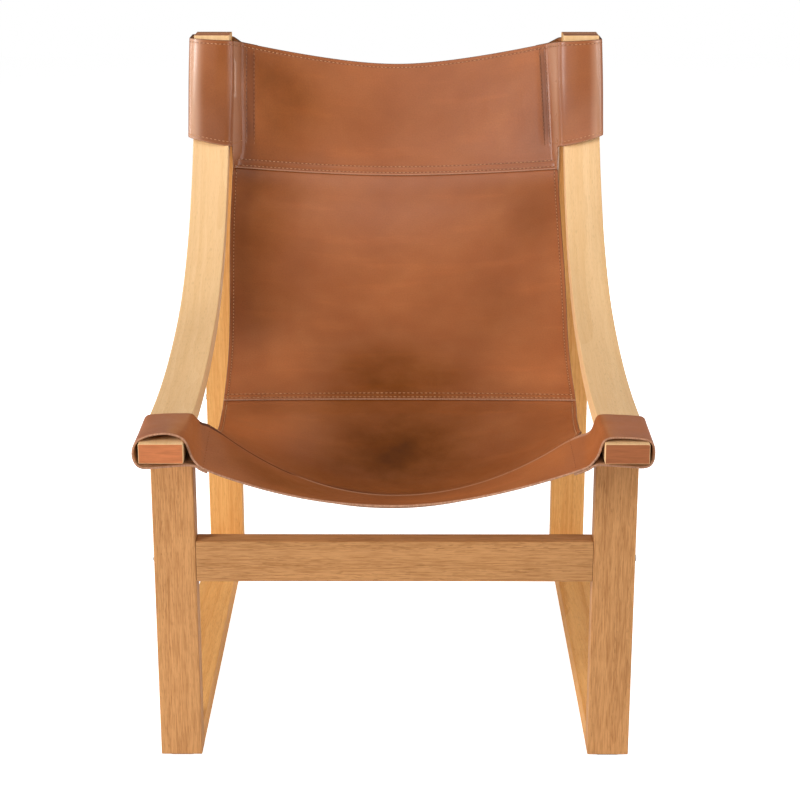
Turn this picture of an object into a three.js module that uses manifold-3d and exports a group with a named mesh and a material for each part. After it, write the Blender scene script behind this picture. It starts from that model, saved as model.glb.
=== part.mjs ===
// Sling lounge chair. Two closed wooden side frames, each of a curved rail, two legs and a floor
// runner, are joined by two stretchers. A leather sling hangs from sleeves at the rails' tops and
// from loops at their tips. Millimetres, X across, Y towards the back, Z up. The origin is on the
// floor, midway across and midway from front to back.
import * as THREE from 'three';
import { mergeVertices } from 'three/addons/utils/BufferGeometryUtils.js';
import Module from 'manifold-3d';

const wasm = await Module();
wasm.setup();

// Side frames
const frameWidth = 640; // over both side frames
const frameDepth = 753; // from the front legs' fronts to the rear legs' backs
const railHeight = 486.5; // top of the rails where they lie level
const backHeight = 895; // top of the rails and of the rear legs
const boardWidth = 56; // every rail, leg and runner is this wide across the chair
const railThickness = 26;
const frontLegThickness = 32;
const rearLegThickness = 30.5;
const runnerHeight = 32;
const easedEdge = 1.6; // small flat planed along every long edge

// Curve of the rails
const tipOverhang = 105; // how far the tips stand out in front of the front legs
const seatBendRadius = 1200; // long gentle bend under the thighs
const seatBendAngle = THREE.MathUtils.degToRad(14);
const backBendRadius = 476; // tighter bend that carries on up the back
const housingDepth = 6.6; // how far the rail's top end is let into the rear leg

// Stretchers
const stretcherHeight = 57;
const stretcherThickness = 29.5;
const stretcherDrop = 171.7; // from the tops of the level rails down to the stretchers' tops

// Glides
const glideLength = 35;
const glideWidth = 24;
const glideThickness = 2;
const glideCorner = 5;

// Joinery
const fitGap = 0.3; // between pieces that touch
const tenonWidth = 34;
const tenonThickness = 10;
const tenonInLeg = 18;
const tenonInRail = 14;
const tenonInRunner = 30;
const dowelRadius = 4;
const dowelInLeg = 18;
const dowelInStretcher = 22;
const dowelSpacing = 36;
const dowelChamfer = 0.8;

// Bolts and barrel nuts
const boltRadius = 3;
const boltHeadRadius = 5.2;
const boltHeadHeight = 2.4;
const boltHeadCrown = 1.5;
const boltInStretcher = 38;
const keySides = 6;
const keyRadius = 2.3; // to the corners of the hexagonal socket
const keyDepth = 1.4;
const nutRadius = 5;
const nutLength = 16;
const nutSetback = 28; // from the stretcher's end to the nut's axis
const slotWidth = 1.6;
const slotDepth = 1.5;

// Countersunk screws that hold the rail's top end in the rear leg
const screwRadius = 2.2;
const screwHeadRadius = 4.4;
const screwHeadDepth = 2.8;
const screwLength = 42;
const screwPoint = 5;
const screwSpacing = 28;
const screwDrop = 16; // below the top of the leg

// Leather
const leather = 3; // thickness
const lapStep = leather + fitGap; // one panel lies on the next at a seam
const sleeveBulge = 2.5; // slack of the sleeve outside the rail
const sleeveInside = 2; // slack of the sleeve inside the rail
const sleeveSlant = 4; // the sleeve's top edge falls this much towards the seam
const sleeveFlare = 9; // and its bottom edge this much
const sleeveCorner = 5;
const seamInset = 16.5; // from the side frames' inner faces to the sleeve's seam
const strapInset = 9; // loops start this far behind the rails' tips
const strapWidth = 108;
const strapSeamInset = 23;
const strapSlack = 2;
const strapArch = 7; // how far the loop's front edge stands up off the rail
const strapSag = 3; // and how far it hangs below
const strapCorner = 13; // corner radius at the loop's front edge
const strapCreaseRadius = 3; // and at its rear edge, where it is drawn tight
const strapSeamDrop = 36; // the strap's front edge at the seam, below the rail's top
const strapSeamDropRear = 18;
const bandSlack = 0.5; // extra room between the front band and the seat panel under it
const seatFrontInset = 15; // the seat panel's front corners stop short of the strap's seam

// Fineness of the curves
const bendSteps = 7;
const backSteps = 22;
const roundSides = 12;
const sheetColumns = 24;
const cornerSteps = 3;
const rowsPerSpan = 4;
const weldDistance = 0.001; // corners closer than this are one

// Sag of the sling. Each row gives a point of its edge or of its centre line, from the top of the
// back to the front of the seat: shares of the space between the side frames, of the frame's depth,
// and of the height from the level rails up to the rails' tops.
const edgeShares = [
  [0.947, 0.967, 0.969],
  [0.951, 0.926, 0.746],
  [0.9565, 0.879, 0.512],
  [0.9735, 0.773, 0.302],
  [0.975, 0.653, 0.11],
  [0.965, 0.522, -0.055],
  [0.966, 0.379, -0.158],
  [0.947, 0.266, -0.16],
  [0.934, 0.146, -0.1285],
];
const centreShares = [
  [0.999, 0.875],
  [0.973, 0.662],
  [0.936, 0.452],
  [0.838, 0.217],
  [0.721, 0.033],
  [0.586, -0.102],
  [0.432, -0.185],
  [0.312, -0.251],
  [0.193, -0.305],
  [0.073, -0.299],
  [-0.06, -0.258],
];
const sagPowerShares = [1.5, 2]; // roundness of the sag across the back and across the seat

// Where the seams lie, as numbers of rows of the tables above
const sleeveEndRow = 1.6;
const headSeamRow = 2;
const seatSeamRow = 6;
const bandRearRow = 9;
const lastRow = 10;
const lapRows = 0.25;
const seatEndRow = 9.75;
const easeRows = 0.5; // a panel passes from one side of a lap to the other over this many rows

// Sizes worked out from those above
const half = frameWidth / 2;
const inside = half - boardWidth;
const boardCentre = half - boardWidth / 2;
const railUnderside = railHeight - railThickness;
const rearLegFront = frameDepth - rearLegThickness;
const footHeight = glideThickness + fitGap;
const stretcherRise = railHeight - stretcherDrop - stretcherHeight; // underside above the floor
const boltHeight = stretcherRise + stretcherHeight / 2;
const screwHeight = backHeight - screwDrop;
const overrun = boardWidth; // how far a cutter reaches past what it cuts
const strapFront = strapInset - tipOverhang;
const strapRear = strapFront + strapWidth;
const sleeveBack = frameDepth + fitGap;
const chairFront = -tipOverhang;
const chairBack = sleeveBack + leather;

// Finishes
const paleWood = new THREE.MeshStandardMaterial({ color: 0xe9c795, roughness: 0.55, metalness: 0 });
const brownWood = new THREE.MeshStandardMaterial({ color: 0xc08e5c, roughness: 0.6, metalness: 0 });
const amberWood = new THREE.MeshStandardMaterial({ color: 0xdca36a, roughness: 0.58, metalness: 0 });
const innerWood = new THREE.MeshStandardMaterial({ color: 0xd9b98a, roughness: 0.75, metalness: 0 });
const tanLeather = new THREE.MeshStandardMaterial({ color: 0x9f6239, roughness: 0.5, metalness: 0 });
const darkPad = new THREE.MeshStandardMaterial({ color: 0x3a2a20, roughness: 0.85, metalness: 0 });
const steel = new THREE.MeshStandardMaterial({ color: 0x9a9a98, roughness: 0.35, metalness: 1 });
const brass = new THREE.MeshStandardMaterial({ color: 0xb8954f, roughness: 0.4, metalness: 1 });

// Turns a side view, drawn as depth and height, to stand across the chair
const sideOn = new THREE.Matrix4().makeBasis(
  new THREE.Vector3(0, 1, 0), new THREE.Vector3(0, 0, 1), new THREE.Vector3(1, 0, 0));

// A mesh with shared corners and no flat triangles, facing outwards
function tidied(geometry) {
  const bare = geometry.clone();
  for (const name of Object.keys(bare.attributes)) {
    if (name !== 'position') bare.deleteAttribute(name);
  }
  const merged = mergeVertices(bare, weldDistance);
  const old = merged.index.array;
  const corners = [];
  for (let i = 0; i < old.length; i += 3) {
    const [a, b, c] = [old[i], old[i + 1], old[i + 2]];
    if (a !== b && b !== c && a !== c) corners.push(a, b, c);
  }
  merged.setIndex(corners);
  return merged;
}

function toSolid(geometry) {
  const merged = tidied(geometry);
  return new wasm.Manifold(new wasm.Mesh({
    numProp: 3,
    vertProperties: new Float32Array(merged.attributes.position.array),
    triVerts: new Uint32Array(merged.index.array),
  }));
}

function fromSolid(solid) {
  const mesh = solid.getMesh();
  const geometry = new THREE.BufferGeometry();
  geometry.setAttribute('position', new THREE.Float32BufferAttribute(mesh.vertProperties, 3));
  geometry.setIndex(Array.from(mesh.triVerts));
  return geometry;
}

function cut(geometry, ...cutters) {
  return fromSolid(cutters.reduce((left, cutter) => left.subtract(toSolid(cutter)), toSolid(geometry)));
}

function join(geometry, ...others) {
  return fromSolid(others.reduce((sum, other) => sum.add(toSolid(other)), toSolid(geometry)));
}

// A closed mesh from numbered corners, turned the right way out
function closedMesh(points, triangles) {
  let volume = 0;
  for (const [a, b, c] of triangles) {
    volume += points[a].dot(new THREE.Vector3().crossVectors(points[b], points[c]));
  }
  const geometry = new THREE.BufferGeometry();
  geometry.setFromPoints(points);
  geometry.setIndex(triangles.flatMap(([a, b, c]) => (volume > 0 ? [a, b, c] : [a, c, b])));
  return geometry;
}

function block(width, depth, height, x, y, z) {
  return new THREE.BoxGeometry(width, depth, height).translate(x, y, z);
}

// A round piece from its profile: each point is a radius and a place along the axis
function turned(profile) {
  return new THREE.LatheGeometry(profile.map(([r, along]) => new THREE.Vector2(r, along)), roundSides);
}

function alongX(geometry) {
  return geometry.rotateZ(-Math.PI / 2);
}

function arcPoints(centre, radius, from, to, steps) {
  return Array.from({ length: steps + 1 }, (_, i) => {
    const angle = THREE.MathUtils.lerp(from, to, i / steps);
    return new THREE.Vector2(
      centre.x + radius * Math.cos(angle), centre.y + radius * Math.sin(angle));
  });
}

// A corner list with each corner rounded, starting at the first corner's curve
function rounded(corners, radii) {
  return corners.flatMap((corner, i) => {
    const before = corners.at(i - 1);
    const after = corners[(i + 1) % corners.length];
    const start = corner.clone().add(before.clone().sub(corner).setLength(radii[i]));
    const end = corner.clone().add(after.clone().sub(corner).setLength(radii[i]));
    return new THREE.QuadraticBezierCurve(start, corner, end).getPoints(cornerSteps);
  });
}

// The same corners moved outwards, for a shape drawn anticlockwise
function grown(corners, distance) {
  return corners.map((corner, i) => {
    const before = corner.clone().sub(corners.at(i - 1)).normalize();
    const after = corners[(i + 1) % corners.length].clone().sub(corner).normalize();
    const normals = new THREE.Vector2(before.y + after.y, -before.x - after.x);
    return corner.clone().add(normals.multiplyScalar(distance / (1 + before.dot(after))));
  });
}

// Centres of the two bends, drawn in side view
function railBends() {
  const shift = seatBendRadius - backBendRadius;
  const centreHeight = railHeight + seatBendRadius - shift * Math.cos(seatBendAngle);
  const outer = backBendRadius + railThickness;
  const reach = Math.sqrt(outer ** 2 - (centreHeight - backHeight) ** 2);
  const levelEnd = rearLegFront + housingDepth - reach - shift * Math.sin(seatBendAngle);
  return {
    seat: new THREE.Vector2(levelEnd, railHeight + seatBendRadius),
    back: new THREE.Vector2(levelEnd + shift * Math.sin(seatBendAngle), centreHeight),
  };
}

// Depth of the rail's front face at a height in its upper bend
function railFaceAt(height) {
  const { back } = railBends();
  return back.x + Math.sqrt(backBendRadius ** 2 - (back.y - height) ** 2);
}

// Side view of a rail, with its underside this far from its top face
function railOutline(thickness, top) {
  const { seat, back } = railBends();
  const down = -Math.PI / 2;
  const bendEnd = down + seatBendAngle;
  const topAngle = (radius) => Math.asin((top - back.y) / radius);
  const outerRadius = backBendRadius + thickness;
  return [
    new THREE.Vector2(chairFront, railHeight - thickness),
    new THREE.Vector2(chairFront, railHeight),
    ...arcPoints(seat, seatBendRadius, down, bendEnd, bendSteps),
    ...arcPoints(back, backBendRadius, bendEnd, topAngle(backBendRadius), backSteps).slice(1),
    ...arcPoints(back, outerRadius, topAngle(outerRadius), bendEnd, backSteps),
    ...arcPoints(seat, seatBendRadius + thickness, bendEnd, down, bendSteps).slice(1),
  ];
}

// A board sawn to a side view, with its long edges eased
function sideBoard(outline, width) {
  const depth = width - 2 * easedEdge;
  return new THREE.ExtrudeGeometry(new THREE.Shape(outline), {
    depth,
    bevelSize: easedEdge,
    bevelThickness: easedEdge,
    bevelOffset: -easedEdge,
    bevelSegments: 1,
  }).translate(0, 0, -depth / 2).applyMatrix4(sideOn);
}

function rectangle(front, back, bottom, top) {
  return [
    new THREE.Vector2(front, bottom), new THREE.Vector2(back, bottom),
    new THREE.Vector2(back, top), new THREE.Vector2(front, top),
  ];
}

// The space that a rail takes, a fit gap larger, for the legs to be cut by
function railRoom() {
  const outline = railOutline(railThickness + fitGap, backHeight + fitGap);
  const width = boardWidth + overrun;
  return new THREE.ExtrudeGeometry(new THREE.Shape(outline), { depth: width, bevelEnabled: false })
    .translate(0, 0, -width / 2).applyMatrix4(sideOn);
}

// A loose tenon along Z: a flat bar with round edges, or its mortise if it is grown
function tenon(below, above, grow) {
  const radius = tenonThickness / 2 + grow;
  const reach = (tenonWidth - tenonThickness) / 2;
  const quarter = Math.PI / 2;
  const ends = [
    ...arcPoints(new THREE.Vector2(reach, 0), radius, -quarter, quarter, bendSteps),
    ...arcPoints(new THREE.Vector2(-reach, 0), radius, quarter, 3 * quarter, bendSteps),
  ];
  const length = below + above + 2 * grow;
  return new THREE.ExtrudeGeometry(new THREE.Shape(ends), { depth: length, bevelEnabled: false })
    .translate(0, 0, -below - grow);
}

function railTenon(grow) {
  return tenon(tenonInLeg, tenonInRail, grow)
    .translate(0, frontLegThickness / 2, railUnderside);
}

// Tenons between runner and legs lie along the floor
function frontRunnerTenon(grow) {
  return tenon(tenonInRunner, tenonInLeg, grow).rotateX(Math.PI / 2)
    .translate(0, frontLegThickness, footHeight + runnerHeight / 2);
}

function rearRunnerTenon(grow) {
  return tenon(tenonInLeg, tenonInRunner, grow).rotateX(Math.PI / 2)
    .translate(0, rearLegFront, footHeight + runnerHeight / 2);
}

// Places of the stretchers' middles, front and rear
const frontStretcherAt = stretcherThickness / 2;
const rearStretcherAt = frameDepth - stretcherThickness / 2;

// A dowel across the chair through the joint plane at x = 0, its leg end on the side given
function dowel(side, grow) {
  const radius = dowelRadius + grow;
  const start = -dowelInStretcher - grow;
  const end = dowelInLeg + grow;
  return alongX(turned([
    [0, start], [radius - dowelChamfer, start], [radius, start + dowelChamfer],
    [radius, end - dowelChamfer], [radius - dowelChamfer, end], [0, end],
  ])).scale(side, 1, 1);
}

function dowelHeights() {
  return [boltHeight - dowelSpacing / 2, boltHeight + dowelSpacing / 2];
}

// Cutters for a leg, in the leg's own place with x = 0 at its middle
function stretcherHoles(side, at) {
  const drill = alongX(new THREE.CylinderGeometry(
    boltRadius + fitGap, boltRadius + fitGap, boardWidth + overrun, roundSides));
  const sockets = dowelHeights().map((height) => facing(dowel(side, fitGap), side)
    .translate(-side * boardWidth / 2, at, height));
  return [drill.translate(0, at, boltHeight), ...sockets];
}

// Scaling by -1 turns a mesh inside out, so its triangles are turned back
function facing(geometry, side) {
  if (side > 0) return geometry;
  const flipped = tidied(geometry);
  const corners = flipped.index.array;
  for (let i = 0; i < corners.length; i += 3) {
    [corners[i], corners[i + 1]] = [corners[i + 1], corners[i]];
  }
  return flipped;
}

function rail() {
  const board = sideBoard(railOutline(railThickness, backHeight), boardWidth);
  return cut(board, railTenon(fitGap), ...screwPlaces().map((x) => screw(fitGap).translate(x, 0, 0)));
}

function frontLeg(side) {
  const board = sideBoard(rectangle(0, frontLegThickness, footHeight, railHeight), boardWidth);
  return cut(board, railRoom(), railTenon(fitGap), frontRunnerTenon(fitGap),
    ...stretcherHoles(side, frontStretcherAt));
}

function rearLeg(side) {
  const board = sideBoard(rectangle(rearLegFront, frameDepth, footHeight, backHeight), boardWidth);
  return cut(board, railRoom(), rearRunnerTenon(fitGap),
    ...stretcherHoles(side, rearStretcherAt),
    ...screwPlaces().map((x) => screw(fitGap).translate(x, 0, 0)));
}

function runner() {
  const front = frontLegThickness + fitGap;
  const board = sideBoard(
    rectangle(front, rearLegFront - fitGap, footHeight, footHeight + runnerHeight), boardWidth);
  return cut(board, frontRunnerTenon(fitGap), rearRunnerTenon(fitGap));
}

function screwPlaces() {
  return [-screwSpacing / 2, screwSpacing / 2];
}

// A countersunk screw driven from the leg's back, its head flush with it, or its hole if grown
function screw(grow) {
  const shank = screwRadius + grow;
  const head = screwHeadRadius + grow;
  const tip = frameDepth - screwLength - grow;
  const back = frameDepth + overrun;
  const openEnd = grow > 0 ? [[head, back], [0, back]] : [[0, frameDepth]];
  return turned([
    [0, tip], [shank, tip + screwPoint], [shank, frameDepth - screwHeadDepth], [head, frameDepth],
    ...openEnd,
  ]).translate(0, 0, screwHeight);
}

// A stretcher with a bolt hole, a nut hole and two dowel holes at each end
function stretcher(at, nutSide) {
  const length = 2 * (inside - fitGap);
  const board = sideBoard(
    rectangle(-stretcherThickness / 2, stretcherThickness / 2, 0, stretcherHeight), length)
    .translate(0, at, stretcherRise);
  const cutters = [-1, 1].flatMap((side) => {
    const end = side * (inside - fitGap);
    const deep = boltInStretcher + fitGap;
    const drill = alongX(new THREE.CylinderGeometry(
      boltRadius + fitGap, boltRadius + fitGap, 2 * deep, roundSides)).translate(end, at, boltHeight);
    const hole = nutLength + fitGap + (stretcherThickness - nutLength) / 2 + overrun;
    const nutHole = new THREE.CylinderGeometry(nutRadius + fitGap, nutRadius + fitGap, hole, roundSides)
      .translate(nutX(side), at + nutSide * (hole / 2 - nutLength / 2 - fitGap), boltHeight);
    const sockets = dowelHeights().map((height) => facing(dowel(side, fitGap), side)
      .translate(end, at, height));
    return [drill, nutHole, ...sockets];
  });
  return cut(board, ...cutters);
}

function nutX(side) {
  return side * (inside - fitGap - nutSetback);
}

// Button-head bolt from the outside of a leg, with a hexagonal socket in its head
function bolt(side) {
  const crown = boltHeadHeight - boltHeadCrown;
  const end = -boardWidth - boltInStretcher;
  const body = alongX(turned([
    [0, end], [boltRadius, end], [boltRadius, fitGap], [boltHeadRadius, fitGap],
    [boltHeadRadius, fitGap + crown], [boltHeadRadius - boltHeadCrown, fitGap + boltHeadHeight],
    [0, fitGap + boltHeadHeight],
  ]));
  const key = alongX(new THREE.CylinderGeometry(keyRadius, keyRadius, 2 * keyDepth, keySides))
    .translate(boltHeadHeight + fitGap, 0, 0);
  return facing(cut(body, key).scale(side, 1, 1), side).translate(side * half, 0, boltHeight);
}

// Barrel nut that lies across the stretcher, with a slot to turn it by
function barrelNut(nutSide) {
  const barrel = new THREE.CylinderGeometry(nutRadius, nutRadius, nutLength, roundSides);
  const bore = alongX(new THREE.CylinderGeometry(
    boltRadius + fitGap, boltRadius + fitGap, 4 * nutRadius, roundSides));
  const slot = block(4 * nutRadius, 2 * slotDepth, slotWidth, 0, nutSide * nutLength / 2, 0);
  return cut(barrel, bore, slot);
}

function glide() {
  const corners = [[-1, -1], [1, -1], [1, 1], [-1, 1]].map(
    ([x, y]) => new THREE.Vector2(x * glideLength / 2, y * glideWidth / 2));
  const outline = rounded(corners, corners.map(() => glideCorner));
  return new THREE.ExtrudeGeometry(
    new THREE.Shape(outline), { depth: glideThickness, bevelEnabled: false });
}

// Edge and centre line of the sling. The last two points of the edge are the front band's seam.
const heightSpan = backHeight - railHeight;
const strapSeam = inside - strapSeamInset;
const edgeLine = new THREE.CatmullRomCurve3([
  ...edgeShares.map(([across, back, up]) => new THREE.Vector3(
    inside * across, frameDepth * back, railHeight + heightSpan * up)),
  new THREE.Vector3(strapSeam, strapRear, railHeight - strapSeamDropRear),
  new THREE.Vector3(strapSeam, strapFront, railHeight - strapSeamDrop),
]);
const centreLine = new THREE.CatmullRomCurve3(centreShares.map(([back, up]) => new THREE.Vector3(
  0, frameDepth * back, railHeight + heightSpan * up)));

// A point of the sling: across from -1 to 1, along in rows of the tables
function slingPoint(across, row) {
  const edge = edgeLine.getPoint(row / lastRow);
  const centre = centreLine.getPoint(row / lastRow);
  const power = THREE.MathUtils.lerp(...sagPowerShares, Math.min(1, row / seatSeamRow));
  const blend = Math.abs(across) ** power;
  return new THREE.Vector3(
    edge.x * across,
    THREE.MathUtils.lerp(centre.y, edge.y, blend),
    THREE.MathUtils.lerp(centre.z, edge.z, blend));
}

// Direction in which the sling's upper side faces
function slingNormal(across, row) {
  const nudge = 1 / (sheetColumns * rowsPerSpan);
  const over = slingPoint(across + nudge, row).sub(slingPoint(across - nudge, row));
  const low = Math.max(0, row - nudge);
  const high = Math.min(lastRow, row + nudge);
  const down = slingPoint(across, high).sub(slingPoint(across, low));
  return down.cross(over).normalize();
}

// A sheet of leather between two rows, lifted off the sling's surface and narrowed by rules
function panel(fromRow, toRow, lift, narrow = () => 1) {
  const rows = Math.max(1, Math.round((toRow - fromRow) * rowsPerSpan));
  const wide = sheetColumns + 1;
  const faces = [leather / 2, -leather / 2].map((shift) => {
    const points = [];
    for (let r = 0; r <= rows; r += 1) {
      const row = THREE.MathUtils.lerp(fromRow, toRow, r / rows);
      for (let c = 0; c < wide; c += 1) {
        const across = (2 * c / sheetColumns - 1) * narrow(row);
        const normal = slingNormal(across, row);
        points.push(slingPoint(across, row).addScaledVector(normal, shift + lift(row)));
      }
    }
    return points;
  });
  const size = faces[0].length;
  const triangles = [];
  const quad = (a, b, c, d) => triangles.push([a, b, c], [a, c, d]);
  for (let r = 0; r < rows; r += 1) {
    for (let c = 0; c < sheetColumns; c += 1) {
      const i = r * wide + c;
      const around = [i, i + 1, i + wide + 1, i + wide];
      if (c >= sheetColumns / 2) around.push(around.shift()); // so both halves are alike
      quad(...around);
      quad(...around.map((corner) => size + corner).reverse());
    }
    const [left, right] = [r * wide, r * wide + sheetColumns];
    quad(left, left + wide, size + left + wide, size + left);
    quad(right, size + right, size + right + wide, right + wide);
  }
  for (let c = 0; c < sheetColumns; c += 1) {
    const last = rows * wide + c;
    quad(c, size + c, size + c + 1, c + 1);
    quad(last, last + 1, size + last + 1, size + last);
  }
  return closedMesh(faces.flat(), triangles);
}

// A rule that eases from one value to another
function easing(fromRow, from, to) {
  return (row) => THREE.MathUtils.lerp(
    from, to, THREE.MathUtils.smoothstep(row, fromRow, fromRow + easeRows));
}

// A tube of leather through rings of points, each ring with an outside and an inside
function leatherTube(rings) {
  const count = rings[0].outer.length;
  const points = rings.flatMap(({ outer, inner }) => [...outer, ...inner]);
  const triangles = [];
  const quad = (a, b, c, d) => triangles.push([a, b, c], [a, c, d]);
  for (let k = 0; k < rings.length; k += 1) {
    for (let i = 0; i < count; i += 1) {
      const next = (i + 1) % count;
      const [here, there] = [2 * k * count, 2 * (k + 1) * count];
      if (k < rings.length - 1) {
        quad(here + i, here + next, there + next, there + i);
        quad(here + count + i, there + count + i, there + count + next, here + count + next);
      }
      if (k === 0) quad(i, count + i, count + next, next);
      if (k === rings.length - 1) quad(here + i, here + next, here + count + next, here + count + i);
    }
  }
  return closedMesh(points, triangles);
}

// One ring: corners of its inside, drawn anticlockwise, and the radius of each corner
function ring(corners, radii, place) {
  const inner = rounded(corners, radii).map(place);
  const outer = rounded(grown(corners, leather), radii.map((radius) => radius + leather)).map(place);
  return { outer, inner };
}

// Right-hand sleeve: it goes round the rail and the rear leg, and bridges the rail's hollow face
function sleeve() {
  const [seamX, inner, outer] = [inside - seamInset, inside - sleeveInside, half + sleeveBulge];
  const top = edgeLine.getPoint(0).z + sleeveSlant;
  const low = edgeLine.getPoint(sleeveEndRow / lastRow).z;
  const frontAt = (height) => THREE.MathUtils.mapLinear(
    height, low, top, railFaceAt(low), railFaceAt(top)) - fitGap;
  const rings = Array.from({ length: rowsPerSpan + 1 }, (_, k) => {
    const share = k / rowsPerSpan;
    const seam = edgeLine.getPoint(share * sleeveEndRow / lastRow);
    const fall = THREE.MathUtils.lerp(sleeveSlant, sleeveFlare, share);
    const heightAt = (x) => seam.z + fall * (x - seamX) / (outer - seamX);
    const corners = [
      new THREE.Vector2(seamX, seam.y),
      new THREE.Vector2(inner, frontAt(heightAt(inner))),
      new THREE.Vector2(outer, frontAt(heightAt(outer))),
      new THREE.Vector2(outer, sleeveBack), new THREE.Vector2(inner, sleeveBack),
    ];
    const radii = [leather, sleeveCorner, sleeveCorner / 2, sleeveCorner / 2, sleeveCorner];
    return ring(corners, radii, ({ x, y }) => new THREE.Vector3(x, y, heightAt(x)));
  });
  return leatherTube(rings);
}

// Right-hand loop: snug on the rail at its rear edge, standing off it at its front edge
function loop() {
  const rings = Array.from({ length: rowsPerSpan + 1 }, (_, k) => {
    const slack = 1 - k / rowsPerSpan;
    const along = THREE.MathUtils.lerp(strapRear, strapFront, slack);
    const drop = THREE.MathUtils.lerp(strapSeamDropRear, strapSeamDrop, slack);
    const [inner, outer] = [inside - strapSlack, half + strapSlack];
    const top = railHeight + fitGap + strapArch * slack ** 2;
    const bottom = railUnderside - fitGap - strapSag * slack ** 2;
    const corners = [
      new THREE.Vector2(strapSeam + leather, railHeight - drop),
      new THREE.Vector2(inner, bottom), new THREE.Vector2(outer, bottom),
      new THREE.Vector2(outer, top), new THREE.Vector2(inner, top),
    ];
    const radius = THREE.MathUtils.lerp(strapCreaseRadius, strapCorner, slack);
    const radii = [leather, radius / 2, radius / 2, radius, radius];
    return ring(corners, radii, (point) => new THREE.Vector3(point.x, along, point.y));
  });
  const legRoom = block(2 * boardWidth, strapWidth, railUnderside, boardCentre,
    strapWidth / 2 - 2 * fitGap, railUnderside / 2);
  return cut(leatherTube(rings), legRoom);
}

function mirrored(geometry) {
  return facing(geometry.clone().scale(-1, 1, 1), -1);
}

function headBand() {
  const right = sleeve();
  return join(panel(0, headSeamRow, () => 0), right, mirrored(right));
}

function backPanel() {
  return panel(headSeamRow - lapRows, seatSeamRow, easing(headSeamRow, -lapStep, 0));
}

function seatPanel() {
  const rise = easing(seatSeamRow, -lapStep, 0);
  const fall = easing(bandRearRow - easeRows, 0, -lapStep - bandSlack);
  const narrow = easing(bandRearRow - easeRows, 1, 1 - seatFrontInset / strapSeam);
  return panel(seatSeamRow - lapRows, seatEndRow, (row) => rise(row) + fall(row), narrow);
}

function frontBand() {
  const right = loop();
  return join(panel(bandRearRow, lastRow, () => 0), right, mirrored(right));
}

const chair = new THREE.Group();
chair.position.y = -(chairFront + chairBack) / 2;

function add(name, geometry, material, x = 0, y = 0, z = 0) {
  const flat = geometry.index ? geometry.toNonIndexed() : geometry;
  flat.computeVertexNormals();
  const mesh = new THREE.Mesh(flat, material);
  mesh.name = name;
  mesh.position.set(x, y, z);
  chair.add(mesh);
}

for (const [word, side] of [['left', -1], ['right', 1]]) {
  const x = side * boardCentre;
  add(`rail_${word}`, rail(), paleWood, x);
  add(`front_leg_${word}`, frontLeg(side), brownWood, x);
  add(`rear_leg_${word}`, rearLeg(side), amberWood, x);
  add(`runner_${word}`, runner(), amberWood, x);
  add(`rail_tenon_${word}`, railTenon(0), innerWood, x);
  add(`front_runner_tenon_${word}`, frontRunnerTenon(0), innerWood, x);
  add(`rear_runner_tenon_${word}`, rearRunnerTenon(0), innerWood, x);
  add(`front_glide_${word}`, glide(), darkPad, x, frontLegThickness / 2);
  add(`rear_glide_${word}`, glide(), darkPad, x, frameDepth - rearLegThickness / 2);
  for (const [place, at, nutSide] of [['front', frontStretcherAt, 1], ['rear', rearStretcherAt, -1]]) {
    add(`${place}_bolt_${word}`, bolt(side), steel, 0, at);
    add(`${place}_barrel_nut_${word}`, barrelNut(nutSide), brass, nutX(side), at, boltHeight);
    dowelHeights().forEach((height, i) => add(
      `${place}_dowel_${word}_${['lower', 'upper'][i]}`,
      facing(dowel(side, 0), side), innerWood, side * (inside - fitGap / 2), at, height));
  }
  screwPlaces().forEach((shift, i) => add(
    `rail_screw_${word}_${i + 1}`, screw(0), steel, x + shift));
}
add('front_stretcher', stretcher(frontStretcherAt, 1), brownWood);
add('rear_stretcher', stretcher(rearStretcherAt, -1), amberWood);
add('head_band', headBand(), tanLeather);
add('back_panel', backPanel(), tanLeather);
add('seat_panel', seatPanel(), tanLeather);
add('front_band', frontBand(), tanLeather);

export default chair;
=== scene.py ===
import math

import bpy
import numpy as np
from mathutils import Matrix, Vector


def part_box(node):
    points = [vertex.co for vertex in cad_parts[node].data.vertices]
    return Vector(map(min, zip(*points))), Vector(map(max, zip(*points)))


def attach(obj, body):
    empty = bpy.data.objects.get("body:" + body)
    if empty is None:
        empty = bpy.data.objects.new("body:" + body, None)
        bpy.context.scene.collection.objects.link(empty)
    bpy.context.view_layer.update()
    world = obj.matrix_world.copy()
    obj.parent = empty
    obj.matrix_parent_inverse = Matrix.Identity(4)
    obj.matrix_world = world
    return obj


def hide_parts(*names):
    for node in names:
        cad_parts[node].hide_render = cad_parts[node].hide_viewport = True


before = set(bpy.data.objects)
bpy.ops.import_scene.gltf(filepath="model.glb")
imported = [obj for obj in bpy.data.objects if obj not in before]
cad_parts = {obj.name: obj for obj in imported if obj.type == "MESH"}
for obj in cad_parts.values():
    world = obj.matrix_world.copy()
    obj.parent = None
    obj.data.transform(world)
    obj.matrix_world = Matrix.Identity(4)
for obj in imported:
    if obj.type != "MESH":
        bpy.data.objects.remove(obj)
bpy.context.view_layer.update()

# The photograph was taken from in front of the chair at standing height, a little right of its
# middle. Lens, place and tilt come from a fit to the frame's straight edges.
camera_place = (0.0132, -2.746, 1.2682)
camera_tilt = math.radians(72.6425)
camera_turn = math.radians(0.142)
camera_lens = 88.13

bpy.context.scene.view_settings.view_transform = "Standard"
camera = bpy.data.objects.new("camera", bpy.data.cameras.new("camera"))
bpy.context.scene.collection.objects.link(camera)
bpy.context.scene.camera = camera
camera.location = camera_place
camera.rotation_euler = (camera_tilt, 0, camera_turn)
camera.data.lens = camera_lens


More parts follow.
